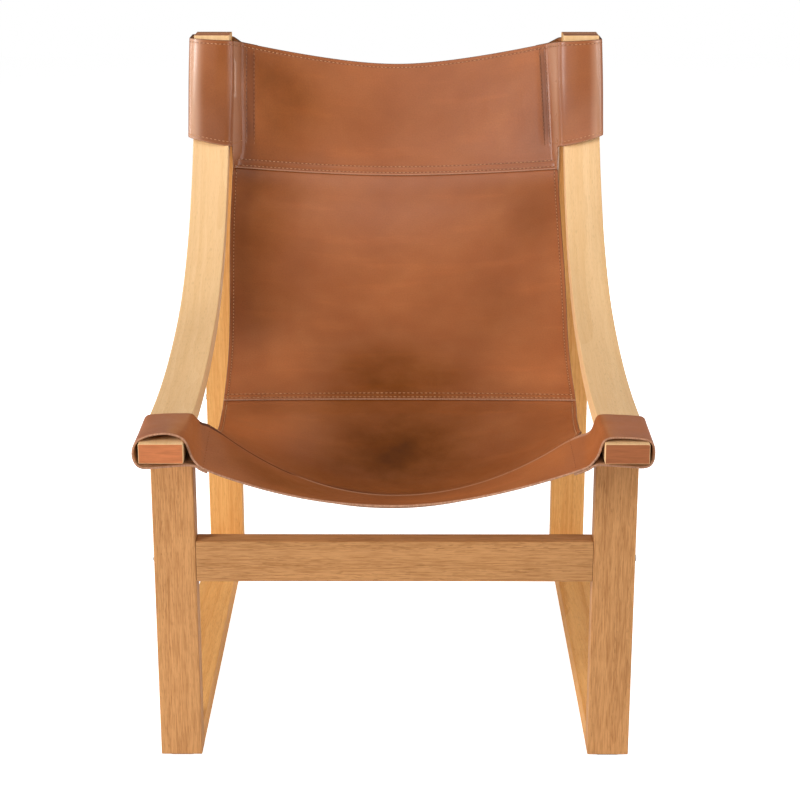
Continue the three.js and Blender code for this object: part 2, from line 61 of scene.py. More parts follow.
# Wires a shader or geometry node into a tree. A value that is a node or a socket is linked, and
# any other value is set on the socket.
def wire(tree, kind, values=None, **settings):
    made = tree.nodes.new(kind)
    for name, value in settings.items():
        setattr(made, name, value)
    for socket, value in (values or {}).items():
        if isinstance(value, bpy.types.Node):
            value = value.outputs[0]
        if isinstance(value, bpy.types.NodeSocket):
            tree.links.new(value, made.inputs[socket])
        else:
            made.inputs[socket].default_value = value
    return made


def new_material(name):
    material = bpy.data.materials.new(name)
    material.use_nodes = True
    tree = material.node_tree
    tree.nodes.clear()
    return material, tree


# Colours are picked as they show on a screen, 0 to 255, and turned into linear light here.
def colour(red, green, blue):
    shares = np.array([red, green, blue]) / 255
    linear = np.where(shares <= 0.04045, shares / 12.92, ((shares + 0.055) / 1.055) ** 2.4)
    return (*linear.tolist(), 1.0)


# The studio: a pale floor that meets a white surround, and soft boxes to the left, the right and
# above, so that every side of the chair is lit about alike.
floor_size = 14.0
floor_drop = 0.0006
floor_tone = (0.85, 0.85, 0.85, 1.0)
floor_lift = 0.84
surround_strength = 0.16
shine_strength = 0.25

# Each soft box: its name, its place, its width and height, and its power.
soft_boxes = (
    ("left_box", (-2.35, -2.1, 1.6), (0.6, 1.9), 84.0),
    ("right_box", (2.7, -1.9, 1.5), (0.6, 1.9), 32.0),
    ("front_box", (-0.4, -3.8, 2.2), (1.6, 1.2), 8.0),
    ("top_box", (0.0, -1.1, 2.8), (2.4, 1.2), 15.0),
    ("left_strip", (-2.4, 0.4, 1.1), (0.4, 1.8), 20.0),
    ("right_strip", (2.4, -0.2, 1.2), (0.4, 1.8), 20.0),
    ("rear_box", (0.5, 3.0, 1.2), (1.8, 1.2), 34.0),
)
light_target = np.array([0.0, 0.0, 0.45])

for name, place, (lamp_width, lamp_height), power in soft_boxes:
    lamp = bpy.data.lights.new(name, "AREA")
    lamp.shape = "RECTANGLE"
    lamp.size, lamp.size_y = lamp_width, lamp_height
    lamp.energy = power
    box = bpy.data.objects.new(name, lamp)
    box.visible_glossy = name != "rear_box"
    bpy.context.scene.collection.objects.link(box)
    box.location = place
    aim = light_target - np.array(place)
    box.rotation_euler = (math.atan2(math.hypot(aim[0], aim[1]), -aim[2]), 0,
                          math.atan2(-aim[0], aim[1]))

world = bpy.data.worlds.new("surround")
bpy.context.scene.world = world
world.use_nodes = True
world.node_tree.nodes.clear()
rays = wire(world.node_tree, "ShaderNodeLightPath")
shine = wire(world.node_tree, "ShaderNodeMapRange", {"Value": rays.outputs["Is Glossy Ray"],
             "To Min": surround_strength, "To Max": shine_strength})
strength = wire(world.node_tree, "ShaderNodeMath", {0: shine, 1: rays.outputs["Is Camera Ray"]},
                operation="MAXIMUM")
glow = wire(world.node_tree, "ShaderNodeBackground", {"Color": (1, 1, 1, 1), "Strength": strength})
wire(world.node_tree, "ShaderNodeOutputWorld", {"Surface": glow})

floor_material, tree = new_material("floor")
rays = wire(tree, "ShaderNodeLightPath")
matt = wire(tree, "ShaderNodeBsdfDiffuse", {"Color": floor_tone})
lift = wire(tree, "ShaderNodeMath", {0: rays.outputs["Is Camera Ray"], 1: floor_lift},
            operation="MULTIPLY")
glow = wire(tree, "ShaderNodeEmission", {"Color": (1, 1, 1, 1), "Strength": lift})
both = wire(tree, "ShaderNodeAddShader", {0: matt, 1: glow})
wire(tree, "ShaderNodeOutputMaterial", {"Surface": both})
half_floor = floor_size / 2
floor_mesh = bpy.data.meshes.new("floor")
floor_mesh.from_pydata(
    [(x * half_floor, y * half_floor, -floor_drop) for x, y in ((-1, -1), (1, -1), (1, 1), (-1, 1))],
    [], [(0, 1, 2, 3)])
floor = bpy.data.objects.new("floor", floor_mesh)
bpy.context.scene.collection.objects.link(floor)
floor.data.materials.append(floor_material)

# The two rails: each is one length of pale hardwood, bent from a level arm into the post of the
# back, planed to a flat bar and oiled. Its top end is let into the rear leg and screwed there.
rail_low, rail_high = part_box("rail_left")
outer_side, inner_side = -rail_low.x, -rail_high.x
board_width = outer_side - inner_side
board_centre = (outer_side + inner_side) / 2
rear_leg_low, rear_leg_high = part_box("rear_leg_left")
rail_thickness = 0.026
rail_top = rail_low.z + rail_thickness
back_top = rail_high.z
fit_gap = 0.0003
seat_bend_radius = 1.2
seat_bend_angle = math.radians(14)
back_bend_radius = 0.476
rail_housing = 0.0066
rail_rings = 120
edge_round = 0.0015
end_round = 0.0008
round_steps = 4
support = 0.0005
grain_shift = (0.05, 0.05, 3)

bend_shift = seat_bend_radius - back_bend_radius
bend_height = rail_top + seat_bend_radius - bend_shift * math.cos(seat_bend_angle)
bend_reach = math.sqrt((back_bend_radius + rail_thickness) ** 2 - (bend_height - back_top) ** 2)
level_end = (rear_leg_low.y + rail_housing - bend_reach
             - bend_shift * math.sin(seat_bend_angle))
bend_depth = level_end + bend_shift * math.sin(seat_bend_angle)


def new_piece(name, points, faces, material, nodes):
    """A closed mesh with outward faces that rides on the chair and stands for CAD nodes."""
    mesh = bpy.data.meshes.new(name)
    mesh.from_pydata(np.asarray(points).tolist(), [], [list(map(int, face)) for face in faces])
    mesh.validate()
    volume = 0.0
    corners = np.asarray(points)
    for face in mesh.polygons:
        around = corners[list(face.vertices)]
        for k in range(1, len(around) - 1):
            volume += np.dot(around[0], np.cross(around[k], around[k + 1]))
    if volume < 0:
        mesh.flip_normals()
    mesh.shade_smooth()
    mesh.materials.append(material)
    piece = bpy.data.objects.new(name, mesh)
    bpy.context.scene.collection.objects.link(piece)
    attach(piece, "root")
    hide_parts(*nodes)
    return piece


def mark(piece, word, values):
    """Gives each point of a piece a number, or three, that its material reads."""
    values = np.asarray(values, np.float32)
    kind = ("FLOAT_VECTOR", "vector") if values.ndim > 1 else ("FLOAT", "value")
    made = piece.data.attributes.new(word, kind[0], "POINT")
    made.data.foreach_set(kind[1], values.ravel())


def board_section(width, thickness, inset):
    """Corners of a board's end, round at each corner, drawn this far inside its outline."""
    radius = edge_round - inset
    points = []
    for quarter, (x, t) in enumerate(((1, 1), (-1, 1), (-1, -1), (1, -1))):
        centre = np.array([x * (width / 2 - edge_round), t * (thickness / 2 - edge_round)])
        start = quarter * math.pi / 2
        before = np.array([math.cos(start), math.sin(start)])
        after = np.array([-before[1], before[0]])
        points.append(centre + before * radius - after * support)
        for angle in np.linspace(start, start + math.pi / 2, round_steps):
            points.append(centre + radius * np.array([math.cos(angle), math.sin(angle)]))
        points.append(centre + after * radius - before * support)
    return np.array(points) + [0, thickness / 2]


def board(name, width, thickness, length, place, material, seed, rings=2,
          shades=(1, 1, 1)):
    """A board with round edges. place(across, through, along) bends it or stands it in place.
    shades lighten or darken its sides, its ends and its left side: partly the boards' own tones,
    and partly painted light."""
    turns = np.linspace(0, math.pi / 2, round_steps)
    ends = [(end_round + support, 0.0)] + [
        (end_round * (1 - math.sin(a)), end_round * (1 - math.cos(a))) for a in turns]
    body = np.linspace(end_round + support, length - end_round - support, rings)
    sections = ends + [(0.0, s) for s in body] + [(inset, length - s) for inset, s in ends[::-1]]
    flat = np.concatenate([
        np.column_stack([board_section(width, thickness, inset), np.full(4 * (round_steps + 2), s)])
        for inset, s in sections])
    count = 4 * (round_steps + 2)
    faces = [tuple(range(count))[::-1], tuple(range(len(flat) - count, len(flat)))]
    for k in range(len(sections) - 1):
        for i in range(count):
            j = (i + 1) % count
            faces.append((k * count + i, k * count + j, (k + 1) * count + j, (k + 1) * count + i))
    points = np.column_stack(place(*flat.T))
    piece = new_piece(name + "_wood", points, faces, material, [name])
    shift = np.random.default_rng(seed).uniform(-1, 1, 3) * grain_shift
    at_end = np.repeat([inset >= end_round for inset, _ in sections], count)
    on_left = flat[:, 0] < support - width / 2
    tones = np.where(at_end, shades[1], np.where(on_left, shades[2], shades[0]))
    mark(piece, "grain", flat + shift)
    mark(piece, "end", at_end)
    mark(piece, "shade", tones)
    return piece


def reading(tree, name, kind="Fac"):
    """What a piece's own attribute of this name says at each point."""
    return wire(tree, "ShaderNodeAttribute", attribute_name=name).outputs[kind]


def between(tree, source, low, high, start=0.0, stop=1.0):
    """Turns what lies between low and high into what lies between start and stop."""
    return wire(tree, "ShaderNodeMapRange", {"Value": source, "From Min": low, "From Max": high,
                "To Min": start, "To Max": stop}).outputs[0]


def mixed(tree, share, first, second, mode="MIX"):
    return wire(tree, "ShaderNodeMix", {0: share, 6: first, 7: second}, data_type="RGBA",
                blend_type=mode).outputs[2]


def maths(tree, operation, first, second, **settings):
    return wire(tree, "ShaderNodeMath", {0: first, 1: second}, operation=operation,
                **settings).outputs[0]


def wood(name, pale, dark, end_tone, ring_gap, ring_share, pore_share, streak_share, fleck_share,
         gloss):
    """Oiled hardwood: growth rings, long fibres and short dark pores, all along the board."""
    material, tree = new_material(name)
    grain = reading(tree, "grain", "Vector")
    shade = reading(tree, "shade")

    def noise(across, along, detail=2.0):
        stretched = wire(tree, "ShaderNodeMapping", {"Vector": grain,
                         "Scale": (across, across, along)})
        return wire(tree, "ShaderNodeTexNoise", {"Vector": stretched, "Scale": 1.0,
                    "Detail": detail}).outputs["Fac"]

    tilt = wire(tree, "ShaderNodeMapping", {"Vector": grain, "Location": (0.012, 0.05, 0),
                "Rotation": (0.03, 0.012, 0), "Scale": (1, 1, 0.35)})
    rings = wire(tree, "ShaderNodeTexWave", {"Vector": tilt, "Scale": 0.314 / ring_gap,
                 "Distortion": 5.0, "Detail": 2.0, "Detail Scale": 0.35, "Detail Roughness": 0.55},
                 wave_type="RINGS", rings_direction="Z", wave_profile="SAW").outputs["Fac"]
    ring = between(tree, rings, 0.0, 1.0, 0.0, ring_share)
    streak = between(tree, noise(60, 0.9, 3), 0.3, 0.7, 0.0, streak_share)
    fibre = between(tree, noise(900, 14), 0.3, 0.7, -0.09, 0.09)
    fleck = between(tree, noise(560, 34), 0.35, 0.65, -fleck_share, fleck_share)
    lines = maths(tree, "ADD", maths(tree, "ADD", ring, streak), fibre)
    tone = mixed(tree, maths(tree, "ADD", lines, fleck, use_clamp=True), pale, dark)
    pores = between(tree, noise(1400, 110, 0), 0.60, 0.70)
    where = between(tree, noise(120, 2.5, 1), 0.35, 0.65, 0.35, 1.0)
    pore = maths(tree, "MULTIPLY", maths(tree, "MULTIPLY", pores, where), pore_share)
    tone = mixed(tree, pore, tone, mixed(tree, 1.0, dark, (0.45, 0.40, 0.36, 1), "MULTIPLY"))
    blotch = between(tree, noise(14, 4), 0.25, 0.75, 0.93, 1.06)
    side_tone = wire(tree, "ShaderNodeHueSaturation", {"Color": tone, "Saturation": 1.04,
                     "Value": maths(tree, "MULTIPLY", blotch, shade)}).outputs[0]
    sawn = wire(tree, "ShaderNodeMapping", {"Vector": grain, "Scale": (40, 420, 1)})
    year = wire(tree, "ShaderNodeTexNoise", {"Vector": sawn, "Scale": 1.0, "Detail": 4.0,
                "Roughness": 0.6, "Distortion": 0.4}).outputs["Fac"]
    end_value = maths(tree, "MULTIPLY", between(tree, year, 0.3, 0.7, 0.80, 1.14), shade)
    sawn_tone = wire(tree, "ShaderNodeHueSaturation", {"Color": end_tone,
                     "Value": end_value}).outputs[0]
    relief = maths(tree, "SUBTRACT", fibre, pore)
    bump = wire(tree, "ShaderNodeBump", {"Strength": 0.35, "Distance": 0.0004, "Height": relief})
    shader = wire(tree, "ShaderNodeBsdfPrincipled", {
        "Base Color": mixed(tree, reading(tree, "end"), side_tone, sawn_tone),
        "Roughness": between(tree, noise(300, 20, 1), 0.3, 0.7, gloss - 0.05, gloss + 0.07),
        "Normal": bump, "Specular IOR Level": 0.22})
    wire(tree, "ShaderNodeOutputMaterial", {"Surface": shader})
    return material


def rail_side_view(through, along):
    """Depth and height of a point of a rail, from its place in the straight bar."""
    level = level_end - rail_low.y
    bend = seat_bend_radius * seat_bend_angle
    radius = back_bend_radius + through
    first_angle = seat_bend_angle - math.pi / 2
    last_angle = np.arcsin((back_top - bend_height) / radius)
    angle_1 = -math.pi / 2 + (along - level) / seat_bend_radius
    share = (along - level - bend) / (rail_length - level - bend)
    angle_2 = first_angle + (last_angle - first_angle) * share
    seat_y = level_end + (seat_bend_radius + through) * np.cos(angle_1)
    seat_z = rail_top + seat_bend_radius + (seat_bend_radius + through) * np.sin(angle_1)
    back_y = bend_depth + radius * np.cos(angle_2)
    back_z = bend_height + radius * np.sin(angle_2)
    y = np.where(share > 0, back_y, np.where(along > level, seat_y, rail_low.y + along))
    z = np.where(share > 0, back_z, np.where(along > level, seat_z, rail_top - through))
    return y, z


rail_turn = math.asin((back_top - bend_height) / back_bend_radius) - seat_bend_angle + math.pi / 2
rail_length = (level_end - rail_low.y + seat_bend_radius * seat_bend_angle
               + back_bend_radius * rail_turn)
pale_wood = wood("pale_wood", colour(236, 198, 151), colour(217, 170, 116), colour(188, 112, 68),
                 ring_gap=0.006, ring_share=0.2, pore_share=0.2, streak_share=0.35, fleck_share=0.08,
                 gloss=0.45)
# Painted light: the right rail's inner side is drawn lighter, as if lit by the lamps on the left. Its
# end is drawn darker.
rail_shades = {"left": (1, 1, 1), "right": (1, 0.7, 1.17)}
for side_name, side, seed in (("left", -1, 11), ("right", 1, 23)):
    board(f"rail_{side_name}", board_width, rail_thickness, rail_length,
          lambda across, through, along: (side * board_centre + across,
                                          *rail_side_view(through, along)),
          pale_wood, seed, rail_rings, rail_shades[side_name])

# The front legs: straight bars of browner hardwood that carry the rails on a loose tenon and stand
# on the floor. The front stretcher is bolted between them, and is cut from the same wood.
front_leg_low, front_leg_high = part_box("front_leg_left")
brown_wood = wood("brown_wood", colour(204, 151, 101), colour(148, 95, 53), colour(150, 98, 60),
                  ring_gap=0.005, ring_share=0.2, pore_share=0.35, streak_share=0.28, fleck_share=0.24,
                  gloss=0.52)
for side_name, side, seed in (("left", -1, 5), ("right", 1, 8)):
    board(f"front_leg_{side_name}", board_width, front_leg_high.y - front_leg_low.y,
          front_leg_high.z - front_leg_low.z,
          lambda across, through, along: (side * board_centre + across,
                                          front_leg_low.y + through, front_leg_low.z + along),
          brown_wood, seed)
stretcher_low, stretcher_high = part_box("front_stretcher")
board("front_stretcher", stretcher_high.z - stretcher_low.z, stretcher_high.y - stretcher_low.y,
      stretcher_high.x - stretcher_low.x,
      lambda across, through, along: (stretcher_low.x + along, stretcher_low.y + through,
                                      (stretcher_low.z + stretcher_high.z) / 2 + across),
      brown_wood, 31, shades=(0.88, 1, 0.88))

# The rear legs rise to the top of the back. Each is housed at its top to take the rail's end, and
# the housing follows the back of the bent rail.
amber_wood = wood("amber_wood", colour(230, 177, 114), colour(200, 136, 75), colour(176, 118, 78),
                  ring_gap=0.007, ring_share=0.3, pore_share=0.25, streak_share=0.4, fleck_share=0.14,
                  gloss=0.5)
leg_thickness = rear_leg_high.y - rear_leg_low.y
leg_rings = 60


def rear_leg_place(side):
    def place(across, through, along):
        height = rear_leg_low.z + along
        drop = np.clip(bend_height - height, 0, back_bend_radius)
        rail_back = bend_depth + np.sqrt((back_bend_radius + rail_thickness) ** 2 - drop ** 2)
        front = np.maximum(rear_leg_low.y, rail_back + fit_gap)
        share = through / leg_thickness
        return side * board_centre + across, front + (rear_leg_high.y - front) * share, height
    return place


for side_name, side, seed in (("left", -1, 3), ("right", 1, 14)):
    board(f"rear_leg_{side_name}", board_width, leg_thickness, rear_leg_high.z - rear_leg_low.z,
          rear_leg_place(side), amber_wood, seed, leg_rings)

# The floor runners tie the legs of each side together, and the rear stretcher ties the two sides
# together behind the sling. They are plain bars of the rear legs' wood.
runner_low, runner_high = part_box("runner_left")
for side_name, side, seed in (("left", -1, 41), ("right", 1, 52)):
    board(f"runner_{side_name}", board_width, runner_high.z - runner_low.z,
          runner_high.y - runner_low.y,
          lambda across, through, along: (side * board_centre + across, runner_low.y + along,
                                          runner_low.z + through),
          amber_wood, seed)
rear_low, rear_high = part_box("rear_stretcher")
board("rear_stretcher", rear_high.z - rear_low.z, rear_high.y - rear_low.y, rear_high.x - rear_low.x,
      lambda across, through, along: (rear_low.x + along, rear_low.y + through,
                                      (rear_low.z + rear_high.z) / 2 + across),
      amber_wood, 60)

# The sling is thick vegetable-tanned leather, hand cut and left with its pale cut edges. It hangs
# between the rails in four panels that are lapped and sewn. Its shape is set by tables of points
# on both edges and on the middle, about 100 mm apart: across, back and up, in millimetres.
left_edge = np.array([
    (-250, 728, 882), (-252, 697, 790), (-259.5, 662, 692), (-260, 582, 609), (-255, 492, 531),
    (-250, 393, 464), (-249, 285, 422), (-246, 200, 421), (-243, 110, 434), (-241, 12, 473.5),
    (-241, -96, 450)]) / 1000
right_edge = np.array([
    (250, 728, 882), (250, 697, 788.5), (256, 662, 689.5), (258.5, 582, 609), (260, 492, 532),
    (259, 393, 464), (261, 285, 422), (256, 200, 421), (252, 110, 434), (244, 12, 463.5),
    (243, -96, 452)]) / 1000
middle_line = np.array([
    (0, 752, 844), (0, 733, 757), (0, 705, 671), (0, 631, 575), (0, 543, 500), (0, 441, 445),
    (0, 325, 411), (0, 235, 384), (0, 145, 360.5), (0, 55, 359.5), (0, -45, 382)]) / 1000

# How each half hangs from its edge to the middle, at these rows: 1 would be a straight line.
sag_rows = (0, 6, 9, 10)
left_sag = (1.4, 2.0, 2.1, 2.1)
right_sag = (1.4, 2.0, 2.15, 1.7)
sag_round = 0.25
leather = 0.003
lap = leather + fit_gap
head_seam, seat_seam, band_rear = 2, 6, 9
rim = 0.0011
rim_turns = np.radians([0, 30, 60, 90])
corner_reach = 1.35
groove_depth = 0.0004
half_width = 0.25
leather_marks = ("groove_and_shade", "painted_shading", "rub_and_highlight", "cut", "flesh", "upper")

# How close a grid line may come to a row of stitches, and to the two lines beside that row, as
# shares of the groove's half width.
clear_of_row, clear_of_side = 1.6, 0.6

# Painted shade: cut edges are drawn darkest where they face this way, up and a little back.
shaded_way = (0, 0.5, 0.87)

# Patches on the sling: place across, row, reach across, reach in rows and amount. The swell is
# where the lower back bulges forward. The other patches are painted shade where they darken the
# leather, and painted light where, below nought, they make it pale.
swell = (0.08, 4.0, 0.38, 0.75, 0.0045)
shading_patches = (
    (0.0, 7.5, 0.6, 1.3, 1.65), (-0.05, 5.45, 0.6, 0.75, 1.0), (-0.95, 4.0, 0.35, 1.1, 0.85),
    (0.6, 4.3, 0.18, 0.7, 0.3), (-0.9, 0.8, 0.4, 1.3, 0.7), (-0.7, 0.8, 0.3, 1.2, 0.4),
    (-1.0, 2.5, 0.35, 0.7, 0.75), (1.1, 0.8, 0.22, 1.2, 0.4), (0.85, 2.6, 0.25, 0.5, 0.4),
    (-0.72, 5.3, 0.3, 0.6, -1.1), (0.75, 5.3, 0.3, 0.5, -0.6), (-0.75, 7.2, 0.3, 0.8, -1.15),
    (0.0, 1.0, 0.5, 0.6, 0.2), (-0.6, 9.6, 0.35, 0.45, 0.8), (0.15, 9.6, 0.35, 0.35, -0.8),
    (0.8, 9.4, 0.4, 0.5, -0.3), (-1.1, 9.6, 0.2, 0.5, -0.4), (1.1, 9.6, 0.2, 0.5, -0.3))


def curve_through(points, at):
    """A natural cubic curve through points that stand at 0, 1, 2 and so on."""
    points = np.asarray(points, float)
    count = len(points)
    system, right = np.eye(count), np.zeros_like(points)
    for i in range(1, count - 1):
        system[i, i - 1:i + 2] = (1, 4, 1)
        right[i] = 6 * (points[i - 1] - 2 * points[i] + points[i + 1])
    bend = np.linalg.solve(system, right)
    i = np.clip(np.floor(at).astype(int), 0, count - 2)
    after = (np.asarray(at) - i)[..., None]
    before = 1 - after
    return (before * points[i] + after * points[i + 1]
            + ((before ** 3 - before) * bend[i] + (after ** 3 - after) * bend[i + 1]) / 6)


def sling(across, row):
    """Points on the sling's middle surface, across from -1 to 1 and row from 0 to 10."""
    across, row = np.broadcast_arrays(np.asarray(across, float), np.asarray(row, float))
    on_left = across < 0
    edge = np.where(on_left[..., None], curve_through(left_edge, row), curve_through(right_edge, row))
    middle = curve_through(middle_line, row)
    power = np.where(on_left, np.interp(row, sag_rows, left_sag), np.interp(row, sag_rows, right_sag))
    share = np.abs(across)
    blend = (((share ** 2 + sag_round ** 2) ** (power / 2) - sag_round ** power)
             / ((1 + sag_round ** 2) ** (power / 2) - sag_round ** power))[..., None]
    points = middle + (edge - middle) * blend
    points[..., 0] = edge[..., 0] * share
    points[..., 1] += front_leg_low.y - spot(across, row, *swell)
    return points


def spot(across, row, middle, level, reach, rows_reach, amount):
    """A soft round patch on the sling: amount in its middle, fading to nothing around it."""
    return amount * np.exp(-((across - middle) / reach) ** 2 - ((row - level) / rows_reach) ** 2)


def surface_normals(grid, present):
    """Directions in which the grain side faces, from the cells that are there."""
    a, b = grid[:-1, :-1], grid[:-1, 1:]
    c, d = grid[1:, 1:], grid[1:, :-1]
    facing = np.cross(c - a, b - d) * present[..., None]
    total = np.zeros_like(grid)
    for rows, cols in ((slice(None, -1), slice(None, -1)), (slice(None, -1), slice(1, None)),
                       (slice(1, None), slice(1, None)), (slice(1, None), slice(None, -1))):
        total[rows, cols] += facing
    return total / np.maximum(np.linalg.norm(total, axis=-1, keepdims=True), 1e-12)


def lifted(grid, amount):
    normals = surface_normals(grid, np.ones(np.array(grid.shape[:2]) - 1))
    return grid + normals * np.asarray(amount)[..., None]


def run_lengths(grid, axis):
    steps = np.linalg.norm(np.diff(grid, axis=axis), axis=-1)
    pad = [(1, 0), (0, 0)] if axis == 0 else [(0, 0), (1, 0)]
    return np.cumsum(np.pad(steps, pad), axis=axis)


def open_edges(cells):
    """Edges that belong to one cell only, each in that cell's direction."""
    edges = dict.fromkeys((cell[k], cell[(k + 1) % 4]) for cell in cells for k in range(4))
    return [edge for edge in edges if edge[::-1] not in edges]


def ways_out(border, place, normal):
    """For each point of the border, the direction that leads off the leather, longer at corners."""
    sides = {}
    for a, b in border:
        along = place[b] - place[a]
        side = np.cross(along / max(np.linalg.norm(along), 1e-9), normal[a])
        for end in (a, b):
            sides.setdefault(end, []).append(side)
    out = {}
    for end, found in sides.items():
        total = np.sum(found, axis=0)
        length = np.linalg.norm(total)
        share = min(corner_reach, 2 / max(length, 1e-6)) if len(found) == 2 else 1
        out[end] = total / max(length, 1e-9) * share
    return out


def leather_piece(name, grid, rows_at, groove_and_shade=None, present=None, rub_and_highlight=None):
    """A solid sheet of leather with rounded cut edges around a grid on its middle surface.
    Two of its marks say, point by point, where it is pulled in and darkened, partly as painted
    shade, and where it is drawn pale and glossy, partly as painted highlight."""
    rows, cols = grid.shape[:2]
    present = np.ones((rows - 1, cols - 1), bool) if present is None else present
    groove_and_shade = np.zeros((rows, cols)) if groove_and_shade is None else groove_and_shade
    rub_and_highlight = np.zeros((rows, cols)) if rub_and_highlight is None else rub_and_highlight
    normals = surface_normals(grid, present)
    grid = grid - normals * groove_depth * groove_and_shade[..., None]
    across = np.clip(grid[..., 0] / half_width, -1, 1)
    painted_shading = sum(spot(across, rows_at[:, None], *patch) for patch in shading_patches)
    middle = cols // 2
    over, down = run_lengths(grid, 1), run_lengths(grid, 0)
    flat = np.stack([over - over[:, middle:middle + 1],
                     np.broadcast_to(down[:, middle:middle + 1], over.shape)], -1)
    number = np.arange(rows * cols).reshape(rows, cols)
    cells = np.stack([number[:-1, :-1], number[1:, :-1], number[1:, 1:], number[:-1, 1:]], -1)
    cells = cells[present]
    border = open_edges(cells)
    place, normal = grid.reshape(-1, 3), normals.reshape(-1, 3)
    outward = ways_out(border, place, normal)
    rings_at = [(rim * (math.sin(a) - 1), leather / 2 - rim * (1 - math.cos(a))) for a in rim_turns]
    rings_at += [(out, -up) for out, up in rings_at[::-1]]
    cut_shares = [0.1, 0.5, 1, 1, 1, 1, 0.5, 0.1]
    flesh_shares = [0, 0, 0, 0, 1, 1, 1, 1]
    lasts = len(rings_at) - 1
    points, tags, top, low, rings = [], [], {}, {}, {}
    for i in np.unique(cells).tolist():
        extra = (*flat.reshape(-1, 2)[i], groove_and_shade.ravel()[i], painted_shading.ravel()[i], rub_and_highlight.ravel()[i])
        if i in outward:
            rings[i] = [len(points) + k for k in range(len(rings_at))]
            top[i], low[i] = rings[i][0], rings[i][lasts]
            for (offset, up), cut, flesh in zip(rings_at, cut_shares, flesh_shares):
                points.append(place[i] + outward[i] * offset + normal[i] * up)
                tags.append((*extra, cut, flesh, outward[i] @ shaded_way))
        else:
            for side, store, flesh in ((1, top, 0), (-1, low, 1)):
                store[i] = len(points)
                points.append(place[i] + normal[i] * side * leather / 2)
                tags.append((*extra, 0, flesh, 0))
    faces = [tuple(top[i] for i in cell) for cell in cells]
    faces += [tuple(low[i] for i in cell[::-1]) for cell in cells]
    for a, b in border:
        for k in range(lasts):
            faces.append((rings[b][k], rings[a][k], rings[a][k + 1], rings[b][k + 1]))
    piece = new_piece(name + "_leather", points, faces, tan_leather, [name])
    tags = np.array(tags)
    mark(piece, "flat", np.column_stack([tags[:, :2], 0 * tags[:, :1]]))
    for column, word in enumerate(leather_marks, 2):
        mark(piece, word, tags[:, column])
    cell_areas = np.linalg.norm(np.cross(grid[1:, 1:] - grid[:-1, :-1],
                                         grid[:-1, 1:] - grid[1:, :-1]), axis=-1) / 2
    size = (float(np.ptp(flat[..., 0], axis=1).max()), float(flat[..., 1].max()))
    return piece, normals, size, float((cell_areas * present).sum())


def with_grooves(lines, grooves, spread):
    """Adds grid lines at stitch rows and beside them, and marks the stitch rows with 1."""
    kept = [line for line in lines if all(abs(line - g) > clear_of_row * spread for g in grooves)]
    beside = [g + side * spread for g in grooves for side in (-1, 1)]
    beside = [b for b in beside if all(abs(b - g) > clear_of_side * spread for g in grooves)]
    every = sorted(set(kept) | set(beside) | set(grooves))
    every = [line for line in every if lines[0] <= line <= lines[-1]]
    return np.array(every), np.array([float(line in grooves) for line in every])


